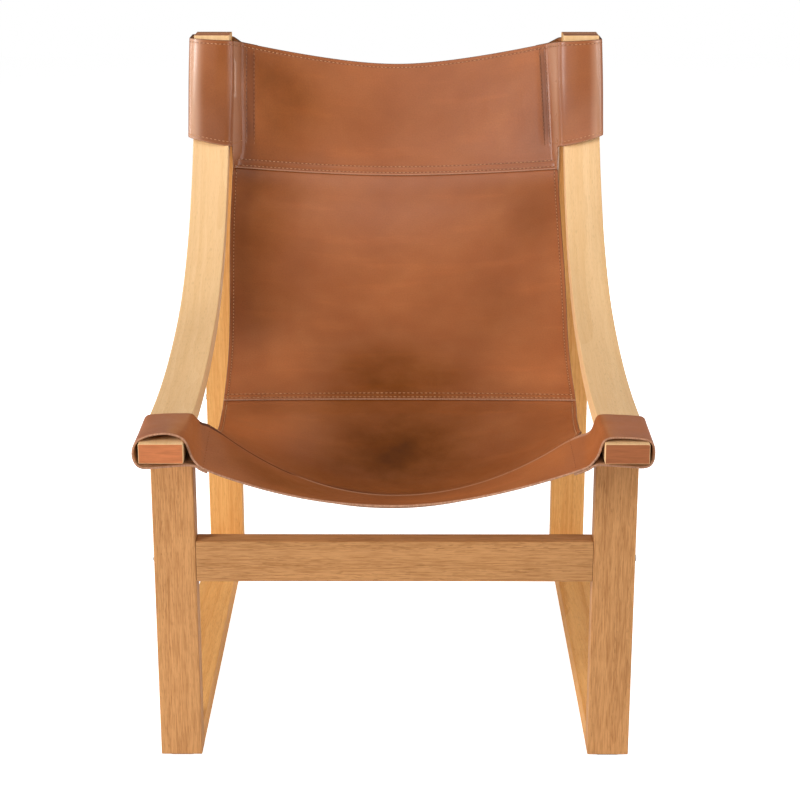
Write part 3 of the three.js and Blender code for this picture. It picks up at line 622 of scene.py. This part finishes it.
def leather_material():
    """Tanned leather: cloudy dye, fine grain, faint creases, pale cut edges, rough flesh side, and
    painted shade and painted highlights from the marks of each piece.
    """
    material, tree = new_material("leather")
    flat = reading(tree, "flat", "Vector")
    groove_and_shade, painted_shading, rub_and_highlight, cut, flesh, upper = (reading(tree, word) for word in leather_marks)

    def noise(scale, detail=2.0, roughness=0.5):
        return wire(tree, "ShaderNodeTexNoise", {"Vector": flat, "Scale": scale, "Detail": detail,
                    "Roughness": roughness}).outputs["Fac"]

    painted_shading = maths(tree, "MULTIPLY", painted_shading, between(tree, noise(10, 4, 0.55), 0.32, 0.68, 0.72, 1.28))
    cloud = between(tree, noise(7, 3, 0.55), 0.3, 0.7)
    tone = mixed(tree, cloud, colour(149, 82, 40), colour(173, 103, 57))
    patch = between(tree, noise(26, 3, 0.6), 0.35, 0.75, 0.0, 0.4)
    tone = mixed(tree, patch, tone, colour(160, 86, 42))
    slant = wire(tree, "ShaderNodeMapping", {"Vector": flat, "Rotation": (0, 0, -0.7),
                 "Scale": (6, 38, 1)})
    smear = wire(tree, "ShaderNodeTexNoise", {"Vector": slant, "Scale": 1.0,
                 "Detail": 3.0}).outputs["Fac"]
    smear = between(tree, smear, 0.55, 0.75, 1.0, 1.12)
    speck = between(tree, noise(420, 2, 0.6), 0.3, 0.7, 0.92, 1.07)
    # Painted shade and painted light: the patches darken the leather, or pale it below nought, and the
    # darker places are also more saturated and less shiny.
    shading_level = between(tree, painted_shading, -1.5, 2.0, 1.57, 0.24)
    value = maths(tree, "MULTIPLY", maths(tree, "MULTIPLY", speck, smear), shading_level)
    tone = wire(tree, "ShaderNodeHueSaturation", {"Color": tone, "Value": value,
                "Saturation": between(tree, painted_shading, 0.3, 1.8, 1.0, 1.1)}).outputs[0]
    # Painted highlight: the leather is drawn pale where it stands for the sheen on the sleeves and the
    # lit cut edges of the bands; the same mark also makes it glossier.
    tone = mixed(tree, rub_and_highlight, tone, colour(208, 162, 132))
    # Stitch grooves are drawn dark, and the same mark carries painted shade: under the front band, at
    # the band's left rear edge and in the sleeve seams.
    sunk_and_shaded = between(tree, groove_and_shade, 0.25, 1.6)
    tone = mixed(tree, sunk_and_shaded, tone, colour(92, 46, 22))
    flesh_tone = mixed(tree, between(tree, noise(220, 3, 0.7), 0.3, 0.7), colour(170, 124, 88),
                       colour(190, 146, 108))
    tone = mixed(tree, flesh, tone, flesh_tone)
    cut_tone = mixed(tree, between(tree, noise(600, 2, 0.6), 0.3, 0.7), colour(148, 104, 78),
                     colour(190, 142, 112))
    # Painted shade: cut edges that face up and back are drawn dark.
    cut_tone = mixed(tree, between(tree, upper, -0.2, 0.7), cut_tone, colour(82, 46, 26))
    tone = mixed(tree, cut, tone, cut_tone)
    pebble = wire(tree, "ShaderNodeTexVoronoi", {"Vector": flat, "Scale": 900.0, "Randomness": 1.0})
    grain = maths(tree, "ADD", between(tree, pebble.outputs["Distance"], 0.0, 0.8, 0.0, 0.5),
                  between(tree, noise(300, 3, 0.6), 0.3, 0.7, 0.0, 0.5))
    fuzz = between(tree, noise(700, 3, 0.8), 0.2, 0.8, 0.0, 3.0)
    relief = wire(tree, "ShaderNodeMix", {0: flesh, 2: grain, 3: fuzz}, data_type="FLOAT").outputs[0]
    bump = wire(tree, "ShaderNodeBump", {"Strength": 0.35, "Distance": 0.00025, "Height": relief})
    raw = maths(tree, "MAXIMUM", flesh, cut)
    rough = maths(tree, "ADD", between(tree, noise(40, 3, 0.6), 0.3, 0.7, 0.31, 0.42),
                  maths(tree, "MULTIPLY", sunk_and_shaded, 0.25))
    rough = maths(tree, "SUBTRACT", rough, maths(tree, "MULTIPLY", rub_and_highlight, 0.1))
    rough = wire(tree, "ShaderNodeMix", {0: raw, 2: rough, 3: 0.85}, data_type="FLOAT").outputs[0]
    wax = between(tree, maths(tree, "MAXIMUM", raw, sunk_and_shaded), 0.0, 1.0, 0.16, 0.0)
    wax = maths(tree, "ADD", wax, maths(tree, "MULTIPLY", rub_and_highlight, 0.4))
    shader = wire(tree, "ShaderNodeBsdfPrincipled", {"Base Color": tone, "Roughness": rough,
                  "Normal": bump, "Specular IOR Level": between(tree, painted_shading, 0.0, 1.5, 0.45, 0.2),
                  "Coat Weight": wax, "Coat Roughness": 0.28})
    wire(tree, "ShaderNodeOutputMaterial", {"Surface": shader})
    return material


tan_leather = leather_material()
stitch_pitch = 0.0065
stitch_size = (0.0044, 0.0012, 0.0010)
stitch_seed = 7
thread_rise = 0.00005

# Hand sewing is never quite even: how far a stitch may turn, and its least and greatest size.
stitch_turn = np.array([0.03, 0.03, 0.12])
stitch_least, stitch_most = 0.88, 1.08

# Waxed thread: the scale and detail of its spots, its roughness and its shine.
waxed = (300.0, 1.0, 0.6, 0.3)


def two_toned(name, first, second, scale, detail, rough, specular=0.5):
    """A matt solid with two close tones in small clouds."""
    material, tree = new_material(name)
    place = wire(tree, "ShaderNodeTexCoord").outputs["Object"]
    clouds = wire(tree, "ShaderNodeTexNoise", {"Vector": place, "Scale": scale, "Detail": detail})
    shader = wire(tree, "ShaderNodeBsdfPrincipled", {
        "Base Color": mixed(tree, clouds, first, second), "Roughness": rough,
        "Specular IOR Level": specular})
    wire(tree, "ShaderNodeOutputMaterial", {"Surface": shader})
    return material


def stitch_tree():
    """Geometry nodes that set a stitch at every pitch along the lines of a mesh."""
    tree = bpy.data.node_groups.new("stitches", "GeometryNodeTree")
    names = {}
    for name, kind, start in (
            ("Geometry", "NodeSocketGeometry", None), ("Pitch", "NodeSocketFloat", stitch_pitch),
            ("Size", "NodeSocketVector", stitch_size), ("Material", "NodeSocketMaterial", None),
            ("Seed", "NodeSocketInt", stitch_seed)):
        socket = tree.interface.new_socket(name, in_out="INPUT", socket_type=kind)
        if start is not None:
            socket.default_value = start
        names[name] = socket.identifier
    tree.interface.new_socket("Geometry", in_out="OUTPUT", socket_type="NodeSocketGeometry")
    given = tree.nodes.new("NodeGroupInput").outputs
    curve = wire(tree, "GeometryNodeMeshToCurve", {"Mesh": given["Geometry"]})
    spaced_out = wire(tree, "GeometryNodeResampleCurve", {"Curve": curve, "Length": given["Pitch"]},
                      mode="LENGTH")
    up = wire(tree, "GeometryNodeInputNamedAttribute", {"Name": "up"}, data_type="FLOAT_VECTOR")
    along = wire(tree, "GeometryNodeInputTangent")
    upright = wire(tree, "FunctionNodeAlignRotationToVector", {"Vector": up}, axis="Z")
    aligned = wire(tree, "FunctionNodeAlignRotationToVector", {"Rotation": upright, "Vector": along},
                   axis="X", pivot_axis="Z")
    turn = wire(tree, "FunctionNodeRandomValue", {"Min": -stitch_turn, "Max": stitch_turn,
                "Seed": given["Seed"]}, data_type="FLOAT_VECTOR")
    turned = wire(tree, "FunctionNodeRotateRotation", {"Rotation": aligned, "Rotate By": turn},
                  rotation_space="LOCAL")
    bead = wire(tree, "GeometryNodeMeshUVSphere", {"Segments": 8, "Rings": 6, "Radius": 0.5})
    vary = wire(tree, "FunctionNodeRandomValue", {2: stitch_least, 3: stitch_most,
                "Seed": given["Seed"]}, data_type="FLOAT")
    scale = wire(tree, "ShaderNodeVectorMath", {0: given["Size"], "Scale": vary.outputs[1]},
                 operation="SCALE")
    placed = wire(tree, "GeometryNodeInstanceOnPoints", {"Points": spaced_out, "Instance": bead,
                  "Rotation": turned, "Scale": scale})
    real = wire(tree, "GeometryNodeRealizeInstances", {"Geometry": placed})
    smooth = wire(tree, "GeometryNodeSetShadeSmooth", {"Geometry": real})
    painted = wire(tree, "GeometryNodeSetMaterial", {"Geometry": smooth,
                   "Material": given["Material"]})
    wire(tree, "NodeGroupOutput", {"Geometry": painted})
    return tree, names


pale_thread = two_toned("pale_thread", colour(176, 118, 78), colour(216, 164, 120), *waxed)
brown_thread = two_toned("brown_thread", colour(120, 72, 42), colour(178, 120, 80), *waxed)
tan_thread = two_toned("tan_thread", colour(150, 88, 50), colour(174, 108, 66), *waxed)
stitching, stitch_sockets = stitch_tree()


def stitch_line(grid, normals, rows, cols, side=1):
    """A line of stitches on a face of the leather, along one row or one column of its grid."""
    up = normals[rows, cols] * side
    return grid[rows, cols] + up * (leather / 2 + thread_rise), up


def stitches(name, lines, thread=pale_thread):
    """The stitches of one piece of leather, set along its lines by geometry nodes."""
    points, ups, edges = [], [], []
    for line, up in lines:
        first = len(points)
        points += line.tolist()
        ups += up.tolist()
        edges += [(first + k, first + k + 1) for k in range(len(line) - 1)]
    mesh = bpy.data.meshes.new(name + "_lines")
    mesh.from_pydata(points, edges, [])
    piece = bpy.data.objects.new(name, mesh)
    bpy.context.scene.collection.objects.link(piece)
    mark(piece, "up", ups)
    modifier = piece.modifiers.new("stitches", "NODES")
    modifier.node_group = stitching
    for word, value in (("Pitch", stitch_pitch), ("Size", stitch_size), ("Material", thread),
                        ("Seed", stitch_seed)):
        modifier[stitch_sockets[word]] = value
    graph = bpy.context.evaluated_depsgraph_get()
    made = bpy.data.meshes.new_from_object(piece.evaluated_get(graph))
    piece.modifiers.clear()
    piece.data = made
    made.name = name
    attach(piece, "root")
    return piece


def groove_at(marks):
    return [int(i) for i in np.flatnonzero(marks)]


# The back panel is the large piece of the back. Its top edge lies behind the head band, and its
# own lower edge lies over the seat panel. Both sides are sewn with a single row of stitches.
side_stitch = 0.0215
row_pitch = 0.0985
lap_rows = 0.25
lift_rows = 0.5
groove_half = 0.0022


def spaced(first, last, count):
    return np.linspace(first, last, count).tolist()


def eased(value, start, stop):
    share = np.clip((value - start) / (stop - start), 0, 1)
    return share * share * (3 - 2 * share)


# Rows of stitches and grid lines, as they lie from a panel's edge. The grid is closer at edges.
side_lines = [-1 + side_stitch, 1 - side_stitch]
seam_rows = (0.0042 / row_pitch, 0.0137 / row_pitch)
edge_line = 0.0026 / row_pitch
across, across_groove = with_grooves([-1, -0.99] + spaced(-0.96, 0.96, 65) + [0.99, 1], side_lines,
                                     groove_half / half_width)
rows, row_groove = with_grooves(
    [head_seam - lap_rows, head_seam - lap_rows + edge_line]
    + spaced(head_seam - lap_rows + 0.08, seat_seam - 0.22, 56) + [seat_seam - edge_line, seat_seam],
    [head_seam - r for r in seam_rows] + [seat_seam - r for r in seam_rows], groove_half / row_pitch)
grid = sling(across[None, :], rows[:, None])
lift = -lap * (1 - eased(rows, head_seam, head_seam + lift_rows))
back_grid = lifted(grid, np.broadcast_to(lift[:, None], grid.shape[:2]))
back_groove = np.maximum(across_groove[None, :], row_groove[:, None])
back_panel, normals, back_size, back_area = leather_piece("back_panel", back_grid, rows, back_groove)
back_lines = [stitch_line(back_grid, normals, slice(5, -1), column, side)
              for column in groove_at(across_groove) for side in (-1, 1)]
back_lines += [stitch_line(back_grid, normals, row, slice(2, -2), side)
               for row, side in zip(groove_at(row_groove), (-1, -1, 1, 1))]
back_stitches = stitches("back_stitches", back_lines)

# The seat panel carries on under the thighs. Its top edge lies behind the back panel, and its front
# end runs under the front band, a little narrower than the band. Behind the band it hangs lower.
seat_end = 9.75
narrow_share, narrow_rows = 0.09, (8.45, 9.13)
pocket_drop, pocket_rows = 0.007, (7.0, 8.5, 8.92)
corner_drop, corner_rows = 0.004, (band_rear - 1.2, band_rear - 0.2)
side_starts = 0.6
band_gap = 0.0005
shade_rows = (8.45, 8.95)
shade_least, shade_more, shade_middle, shade_reach = 0.35, 1.1, -0.25, 0.35
rows, row_groove = with_grooves(
    [seat_seam - lap_rows, seat_seam - lap_rows + edge_line]
    + spaced(seat_seam - lap_rows + 0.08, band_rear + 0.67, 56) + [seat_end - edge_line, seat_end],
    [seat_seam - r for r in seam_rows], groove_half / row_pitch)
narrow = 1 - narrow_share * eased(rows, *narrow_rows)
grid = sling(across[None, :] * narrow[:, None], rows[:, None])
lift = (-lap * (1 - eased(rows, seat_seam, seat_seam + lift_rows))
        - (lap + band_gap) * eased(rows, band_rear - lift_rows, band_rear))
at_side = eased(np.abs(across), side_starts, 1)[None, :]
pocket = (eased(rows, *pocket_rows[:2]) * (1 - eased(rows, *pocket_rows[1:])))[:, None]
drop = (pocket_drop * (1 - at_side) * pocket
        + corner_drop * at_side * eased(rows, *corner_rows)[:, None])
seat_grid = lifted(grid, lift[:, None] - drop)

# Painted shade: the leather is drawn dark where it goes in under the band, most of all a little
# left of the middle.
dark = shade_least + shade_more * np.exp(-((across - shade_middle) / shade_reach) ** 2)
seat_groove_and_shade = np.maximum(across_groove[None, :], dark * eased(rows, *shade_rows)[:, None])
seat_panel, normals, seat_size, seat_area = leather_piece("seat_panel", seat_grid, rows, seat_groove_and_shade)
seat_lines = [stitch_line(seat_grid, normals, slice(5, -3), column, side)
              for column in groove_at(across_groove) for side in (-1, 1)]
seat_lines += [stitch_line(seat_grid, normals, row, slice(2, -2), -1) for row in groove_at(row_groove)]
seat_stitches = stitches("seat_stitches", seat_lines)

# The head band is one strip that is folded back at both ends into sleeves. Each sleeve goes around
# the rail and the rear leg, returns behind the band and is sewn to it with two rows of stitches.
sleeve_end = 1.628
relax_end = 2.08
tab_end = 0.222

# Each sleeve, left and right: its fold from the chair's middle at the top and at the end, its two
# sides, its rows of stitches from the fold, and where the slanted face next to the fold ends.
fold_places = {-1: (0.247, 0.247), 1: (0.241, 0.250)}
sleeve_outer = {-1: 0.3262, 1: 0.3236}
sleeve_inner = {-1: 0.2625, 1: 0.2605}
sleeve_seams = {-1: (0.007, 0.0195), 1: (0.0048, 0.0134)}
edge_shares = {-1: 0.75, 1: 0.5}

# How far the sleeve's top and lower edges rise above the band's rows towards its outer side.
top_rises = (0.0062, 0.0098)
low_rises = {-1: 0.0175, 1: 0.0225}

# Roundings at the fold and at the five corners that follow it, and how the faces belly out.
fold_rounds = {-1: 0.006, 1: 0.004}
sleeve_rounds = ((0.0075, 0.010), (0.016, 0.008), 0.006, 0.006, 0.004)
fold_margin, tab_margin = 0.0006, 0.001
outer_bulge, face_bulge, face_depth = 0.0014, 0.0040, 0.009
face_lead, bulge_reach = 0.006, 0.4
fillet_start = 0.78

# Steps along a ring: over the fold, across the slanted face, then a corner and a side by turns.
corner_steps = 6
corner_run = [1] * (corner_steps - 1)
ring_steps = [1] + corner_run + [2, 3]
for side_steps in (10, 9, 9, 7, 6):
    ring_steps += corner_run + [side_steps]

# Painted highlights: streaks drawn pale and glossier down each sleeve: the column of the ring, its
# reach in columns, and amount.
sleeve_highlights = {-1: ((8.5, 2.5, 0.45), (28, 2.2, 0.8)), 1: ((8.5, 3.0, 0.6), (27.5, 1.6, 0.45))}
# How deep the sleeve's seam and its stitch rows sink and are darkened, partly as painted shade, and
# how pale the head band's lower edge is drawn, as painted light.
seam_depth, stitch_depth, hem_highlight = 0.85, 1.3, 0.4
top_fade, end_fade, end_fade_rows = 0.2, 0.6, 0.3
centre_columns = 56


def rounded_path(corners, radii, steps):
    """Points of a path of straight lines whose corners are rounded, with a reach on each side."""
    path = [corners[0]]
    for before, corner, after, reach in zip(corners, corners[1:], corners[2:], radii):
        into, out_of = reach if isinstance(reach, tuple) else (reach, reach)
        start = corner + (before - corner) / np.linalg.norm(before - corner) * into
        stop = corner + (after - corner) / np.linalg.norm(after - corner) * out_of
        for t in np.linspace(0, 1, steps):
            path.append((1 - t) ** 2 * start + 2 * t * (1 - t) * corner + t ** 2 * stop)
    path.append(corners[-1])
    return path


def rail_face(height):
    return bend_depth + math.sqrt(back_bend_radius ** 2 - (bend_height - height) ** 2)


def edge_width(side, row):
    return abs(curve_through(left_edge if side < 0 else right_edge, row)[0])


def fold_place(side, row):
    return np.interp(row / sleeve_end, (0, 1), fold_places[side])


def sleeve_section(side, row):
    """One ring of a sleeve's middle surface, from just inside its fold round to its tab."""
    share = min(row / sleeve_end, 1)
    width = edge_width(side, row)
    fold_x = fold_place(side, row)

    def on_sling(x):
        point = sling(side * x / width, row)
        return np.array([x, point[1]])

    fold = on_sling(fold_x)
    height = sling(side * fold_x / width, row)[2]
    outer = sleeve_outer[side] + outer_bulge * math.sin(math.pi * share)
    inner = sleeve_inner[side]
    front = rail_face(min(height + face_lead, back_top)) - fit_gap - leather / 2
    back = rear_leg_high.y + fit_gap + leather / 2
    corners = [on_sling(fold_x - fold_rounds[side] - fold_margin), fold, np.array([inner, front]),
               np.array([outer, front]), np.array([outer, back]), np.array([inner, back]),
               on_sling(fold_x) + (tab_margin, lap), on_sling(tab_end) + (0, lap)]
    facet_edge = fold + (corners[2] - fold) * edge_shares[side]
    path = rounded_path(corners, (fold_rounds[side], *sleeve_rounds), corner_steps)
    path.insert(corner_steps + 1, facet_edge)
    points = [path[0]]
    for a, b, count in zip(path, path[1:], ring_steps):
        points += [a + (b - a) * k / count for k in range(1, count + 1)]
    ring = np.array(points)
    reach = np.clip((ring[:, 0] - inner) / (outer - inner), 0, 1)
    bulge = face_bulge * (1 - reach ** 3) * eased(reach, 0, bulge_reach)
    ring[:, 1] -= np.where(ring[:, 1] < front + face_depth, bulge, 0)
    edge_x = facet_edge[0]
    notch = inner - edge_x
    top = np.interp(ring[:, 0], (fold_x, inner, outer), (0, *top_rises))
    low = np.interp(ring[:, 0], (edge_x, inner, outer), (0, notch, low_rises[side]))
    reach = np.clip(ring[:, 0] - edge_x, 0, notch)
    fillet = np.sqrt(notch ** 2 - (notch - reach) ** 2) - reach
    rise = (1 - share) * top + share * low + eased(share, fillet_start, 1) * fillet
    level = np.where(ring[:, 0] < fold_x, sling(side * ring[:, 0] / width, row)[:, 2], height)
    return np.column_stack([side * ring[:, 0], ring[:, 1], level + rise])


edge_columns = 9
hem_top, hem_low = 0.0067 / row_pitch, 0.0055 / row_pitch
rows, row_groove = with_grooves(
    [0, edge_line] + spaced(0.12, sleeve_end - 0.14, 18)
    + [sleeve_end - edge_line, sleeve_end] + spaced(sleeve_end + 0.03, head_seam - 0.19, 5)
    + [head_seam - edge_line, head_seam],
    [hem_top, sleeve_end - hem_low] + [head_seam - r for r in seam_rows], groove_half / row_pitch)
hem_rows = groove_at(row_groove)
sleeve_rows = int(np.sum(rows <= sleeve_end + 1e-9))
side_distances = {}
for side, (first, second) in sleeve_seams.items():
    side_distances[side] = np.array([first, first + groove_half, second - groove_half, second,
                                     second + groove_half])
head_rows = []
for row in rows:
    relaxed = eased(row, sleeve_end, relax_end)
    parts = {}
    for side in (-1, 1):
        ring = sleeve_section(side, row)
        width = edge_width(side, row)
        start = abs(ring[0, 0])
        shares = np.linspace(0, 1, edge_columns)
        flat_edge = sling(side * (start + (width - start) * shares) / width, row)
        ring[:edge_columns] += (flat_edge - ring[:edge_columns]) * relaxed
        parts[side] = ring
    left_x = -(fold_place(-1, row) - side_distances[-1])
    right_x = fold_place(1, row) - side_distances[1][::-1]
    centre_x = np.linspace(left_x[-1], right_x[0], centre_columns + 2)[1:-1]
    body_x = np.concatenate([left_x, centre_x, right_x])
    body = sling(body_x / np.where(body_x < 0, edge_width(-1, row), edge_width(1, row)), row)
    head_rows.append(np.vstack([parts[-1][::-1], body, parts[1]]))
head_grid = np.array(head_rows)
ring_columns, body_columns = len(parts[-1]), len(body_x)
left_start, right_start = ring_columns, ring_columns + body_columns
stitch_columns = [left_start, left_start + 3, right_start - 4, right_start - 1]
present = np.ones(np.array(head_grid.shape[:2]) - 1, bool)
present[sleeve_rows - 1:, :ring_columns - edge_columns] = False
present[sleeve_rows - 1:, right_start + edge_columns - 1:] = False
head_groove = np.zeros(head_grid.shape[:2])
head_groove[hem_rows[0]] = 1
head_groove[hem_rows[1], :ring_columns - 3] = head_groove[hem_rows[1], right_start + 3:] = 1
for row in hem_rows[2:]:
    head_groove[row, ring_columns - edge_columns + 1:right_start + edge_columns - 1] = 1
seam_span = slice(hem_rows[0] + 1, sleeve_rows - 1)
for first, last in (stitch_columns[:2], stitch_columns[2:]):
    head_groove[seam_span, first:last + 1] = seam_depth
head_groove[seam_span, stitch_columns] = stitch_depth
fade = (eased(rows, 0, top_fade)
        * (1 - end_fade * eased(rows, sleeve_end - end_fade_rows, sleeve_end)))
head_groove[seam_span] *= fade[seam_span, None]
head_painted_highlight = np.zeros(head_grid.shape[:2])
for side, columns in ((-1, slice(ring_columns - 1, None, -1)), (1, slice(right_start, None))):
    amounts = sum(amount * np.exp(-((np.arange(ring_columns) - column) / reach) ** 2)
                  for column, reach, amount in sleeve_highlights[side])
    head_painted_highlight[:, columns] = amounts * (1 - eased(rows, sleeve_end, relax_end))[:, None]
# Painted light: the head band's lower cut edge is drawn pale.
head_painted_highlight[-1] = hem_highlight
head_band, normals, head_size, head_area = leather_piece("head_band", head_grid, rows, head_groove,
                                                         present, head_painted_highlight)
tab_columns = 10
head_lines = [stitch_line(head_grid, normals, hem_rows[0], slice(tab_columns, -tab_columns)),
              stitch_line(head_grid, normals, hem_rows[1], slice(tab_columns, ring_columns - 5)),
              stitch_line(head_grid, normals, hem_rows[1], slice(right_start + 5, -tab_columns))]
head_lines += [stitch_line(head_grid, normals, row, slice(ring_columns - edge_columns + 1,
                                                          right_start + edge_columns - 1))
               for row in hem_rows[2:]]
head_lines.append(stitch_line(head_grid, normals, hem_rows[0],
                              slice(ring_columns + 9, right_start - 9), -1))
sleeve_lines = [stitch_line(head_grid, normals, seam_span, column)
                for column in stitch_columns + [1, 4, -4, -2]]
head_stitches = stitches("head_stitches", head_lines)
sleeve_stitches = stitches("sleeve_stitches", sleeve_lines, brown_thread)

# The front band crosses the front of the seat over the end of the seat panel. Both its ends go
# over the rail and under it, and are sewn to the underside of the band as short tabs.
rail_level, crown_power = 0.486, 1.4
span_steps = 3
band_body = 0.86
near_places = (0.80, band_body, 0.92)
body_reach = 12

# Painted shadow darkens the cut rear edge at the left, and a painted highlight pales it along the
# rest.
shadow_depth, shadow_stops = 2.0, (-0.62, -0.5)
highlight_amount, highlight_starts = 0.6, (-0.6, -0.45)
edge_stops = (0.05, 0.09)

# Each end comes back under the band as a tab, at these knots of its own path.
tab_share = 0.13
tab_places = {-1: (3.7, 3.3, 2.9, 2.6), 1: (2.12, 2.6, 3.1, 3.6)}

# Points around each end, at the band's rear and front edges: from the chair's middle outwards,
# back from the front legs, and up, in millimetres.
band_left = {
    "rear": [(241, 12, 473), (249.6, 12, 476.2), (256, 12, 479.6), (260.6, 12, 484),
             (263.6, 12, 487.4), (268, 12, 488.5), (276, 12, 488.5), (292, 11.5, 488.5),
             (306, 9.5, 488.5), (316, 7.5, 488.4), (321.5, 6.5, 487.4), (325, 5.5, 482.5),
             (326, 3, 472.5), (325, 0, 462.5), (321.5, -2, 458), (314, -2, 457.4),
             (300, -2, 457.8), (280, -2, 458.2), (264, -2, 458.6), (254.5, -2, 460.2)],
    "front": [(240.8, -95, 450.6), (248.2, -96, 457.2), (254, -96, 465.6), (257.6, -96, 476),
              (261, -96, 485), (265.4, -96, 490.6), (272, -96, 494.2), (282, -96, 496.8),
              (293, -96, 496.8), (305, -96, 494.8), (315.5, -96, 491), (323.6, -96, 485),
              (328, -96, 474.5), (327.4, -96, 462.5), (322, -96, 453.8), (313, -96, 451.2),
              (300, -96, 452), (280, -96, 453.8), (264, -96, 455), (255.4, -96, 454.8)],
}
band_right = {
    "rear": [(241, 12, 458.6), (248.6, 12, 461), (254.6, 12, 463.8), (258.6, 12, 468.2),
             (261, 11.5, 475.6), (264, 10.5, 484.6), (271, 9.5, 488.4), (290, 7.5, 488.5),
             (306, 5, 488.5), (316, 3, 488.4), (322, 2, 487.4), (325, 1.5, 482.6),
             (325.4, 0.5, 472.6), (324.6, -1, 463), (321.2, -2, 458.2), (314, -2, 457.4),
             (300, -2, 457.8), (280, -2, 458.2), (264, -2, 458.4), (254.5, -2, 459)],
    "front": [(242, -95, 451.8), (249, -96, 458), (255.2, -96, 466.6), (259, -96, 476.8),
              (261.4, -96, 484.6), (265.6, -96, 489.6), (273, -96, 491.8), (284, -96, 492.2),
              (296, -96, 491.8), (308, -96, 490.6), (318, -96, 488.6), (324.4, -96, 483),
              (326.4, -96, 472.6), (325.2, -96, 461), (319.6, -96, 454.2), (310, -96, 452.6),
              (298, -96, 453.4), (280, -96, 454.8), (264, -96, 455.8), (255.6, -96, 455.8)],
}


def band_end(side, table, share, at):
    """Points around one end of the band, on the line this share of the way to its front edge."""
    near = sling(side * np.array(near_places), band_rear + share)
    rear, front = (np.array(table[end]) / 1000 for end in ("rear", "front"))
    loop = rear + (front - rear) * share
    risen = np.where(rear[:, 2] > rail_level, share ** crown_power, share)
    loop[:, 2] = rear[:, 2] + (front[:, 2] - rear[:, 2]) * risen
    loop = np.column_stack([side * loop[:, 0], front_leg_low.y + loop[:, 1], loop[:, 2]])
    knots = np.vstack([near, loop])
    return knots if at is None else curve_through(knots, np.array(at))


rows = np.array([0, 0.02, 0.04, 0.06] + spaced(0.095, 0.93, 14) + [0.975, 1])
across = np.array(spaced(-band_body, band_body, 57))
ends = []
for side, table in ((-1, band_left), (1, band_right)):
    over = np.array([band_end(side, table, tab_share + (1 - tab_share) * share, tab_places[side])
                     for share in rows])
    tab = lifted(over, np.full(over.shape[:2], -lap))
    tab = tab if side < 0 else tab[:, ::-1]
    end = []
    for share, tab_points in zip(rows, tab):
        knots = np.vstack([band_end(side, table, share, None), tab_points])
        steps = np.arange(span_steps + 1, span_steps * (len(knots) - 1) + 1) / span_steps
        end.append(curve_through(knots, steps))
    ends.append(np.array(end))
body = sling(across[None, :], band_rear + rows[:, None])
band_grid = np.concatenate([ends[0][:, ::-1], body, ends[1]], axis=1)
loop_columns = ends[0].shape[1]
body_end = loop_columns + len(across)
edge_rows = (1 - eased(rows, *edge_stops))[:, None]
places = np.arange(band_grid.shape[1])
at_body = (places > loop_columns - body_reach) & (places < body_end + body_reach)
reach = np.interp(places, (loop_columns, body_end - 1), (-band_body, band_body))
band_painted_shadow = shadow_depth * (1 - eased(reach, *shadow_stops)) * at_body * edge_rows
band_painted_highlight = highlight_amount * eased(reach, *highlight_starts) * at_body * edge_rows
stitch_columns = [loop_columns - 6, body_end + 3, 3, -3]
front_band, normals, band_size, band_area = leather_piece("front_band", band_grid, band_rear + rows,
                                                          band_painted_shadow, rub_and_highlight=band_painted_highlight)
band_lines = [stitch_line(band_grid, normals, slice(2, -1), column) for column in stitch_columns]
band_stitches = stitches("band_stitches", band_lines, tan_thread)

# The hardware: steel bolts and screws, brass barrel nuts, hardwood tenons and dowels, and dark
# glides under the feet. These keep the frame's own meshes, and only take a finish here.
def metal(name, tone, rough):
    """Turned metal with faint tool marks."""
    material, tree = new_material(name)
    place = wire(tree, "ShaderNodeTexCoord").outputs["Object"]
    marks = wire(tree, "ShaderNodeTexNoise", {"Vector": place, "Scale": 900.0, "Detail": 2.0})
    dull = between(tree, marks, 0.3, 0.7, rough - 0.06, rough + 0.08)
    shader = wire(tree, "ShaderNodeBsdfPrincipled", {"Base Color": tone, "Metallic": 1.0,
                  "Roughness": dull})
    wire(tree, "ShaderNodeOutputMaterial", {"Surface": shader})
    return material


finishes = {
    "bolt": metal("steel", colour(176, 178, 180), 0.32),
    "screw": metal("screw_steel", colour(188, 186, 180), 0.3),
    "barrel_nut": metal("brass", colour(206, 172, 104), 0.34),
    "glide": two_toned("glide", colour(84, 60, 42), colour(60, 42, 30), 240.0, 3.0, 0.6),
    "tenon": two_toned("beech", colour(222, 178, 128), colour(200, 152, 102), 90.0, 3.0, 0.6),
    "dowel": two_toned("dowel", colour(220, 184, 140), colour(202, 160, 112), 120.0, 3.0, 0.6),
}
for name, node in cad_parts.items():
    for word, finish in finishes.items():
        if word in name:
            node.data.materials.clear()
            node.data.materials.append(finish)
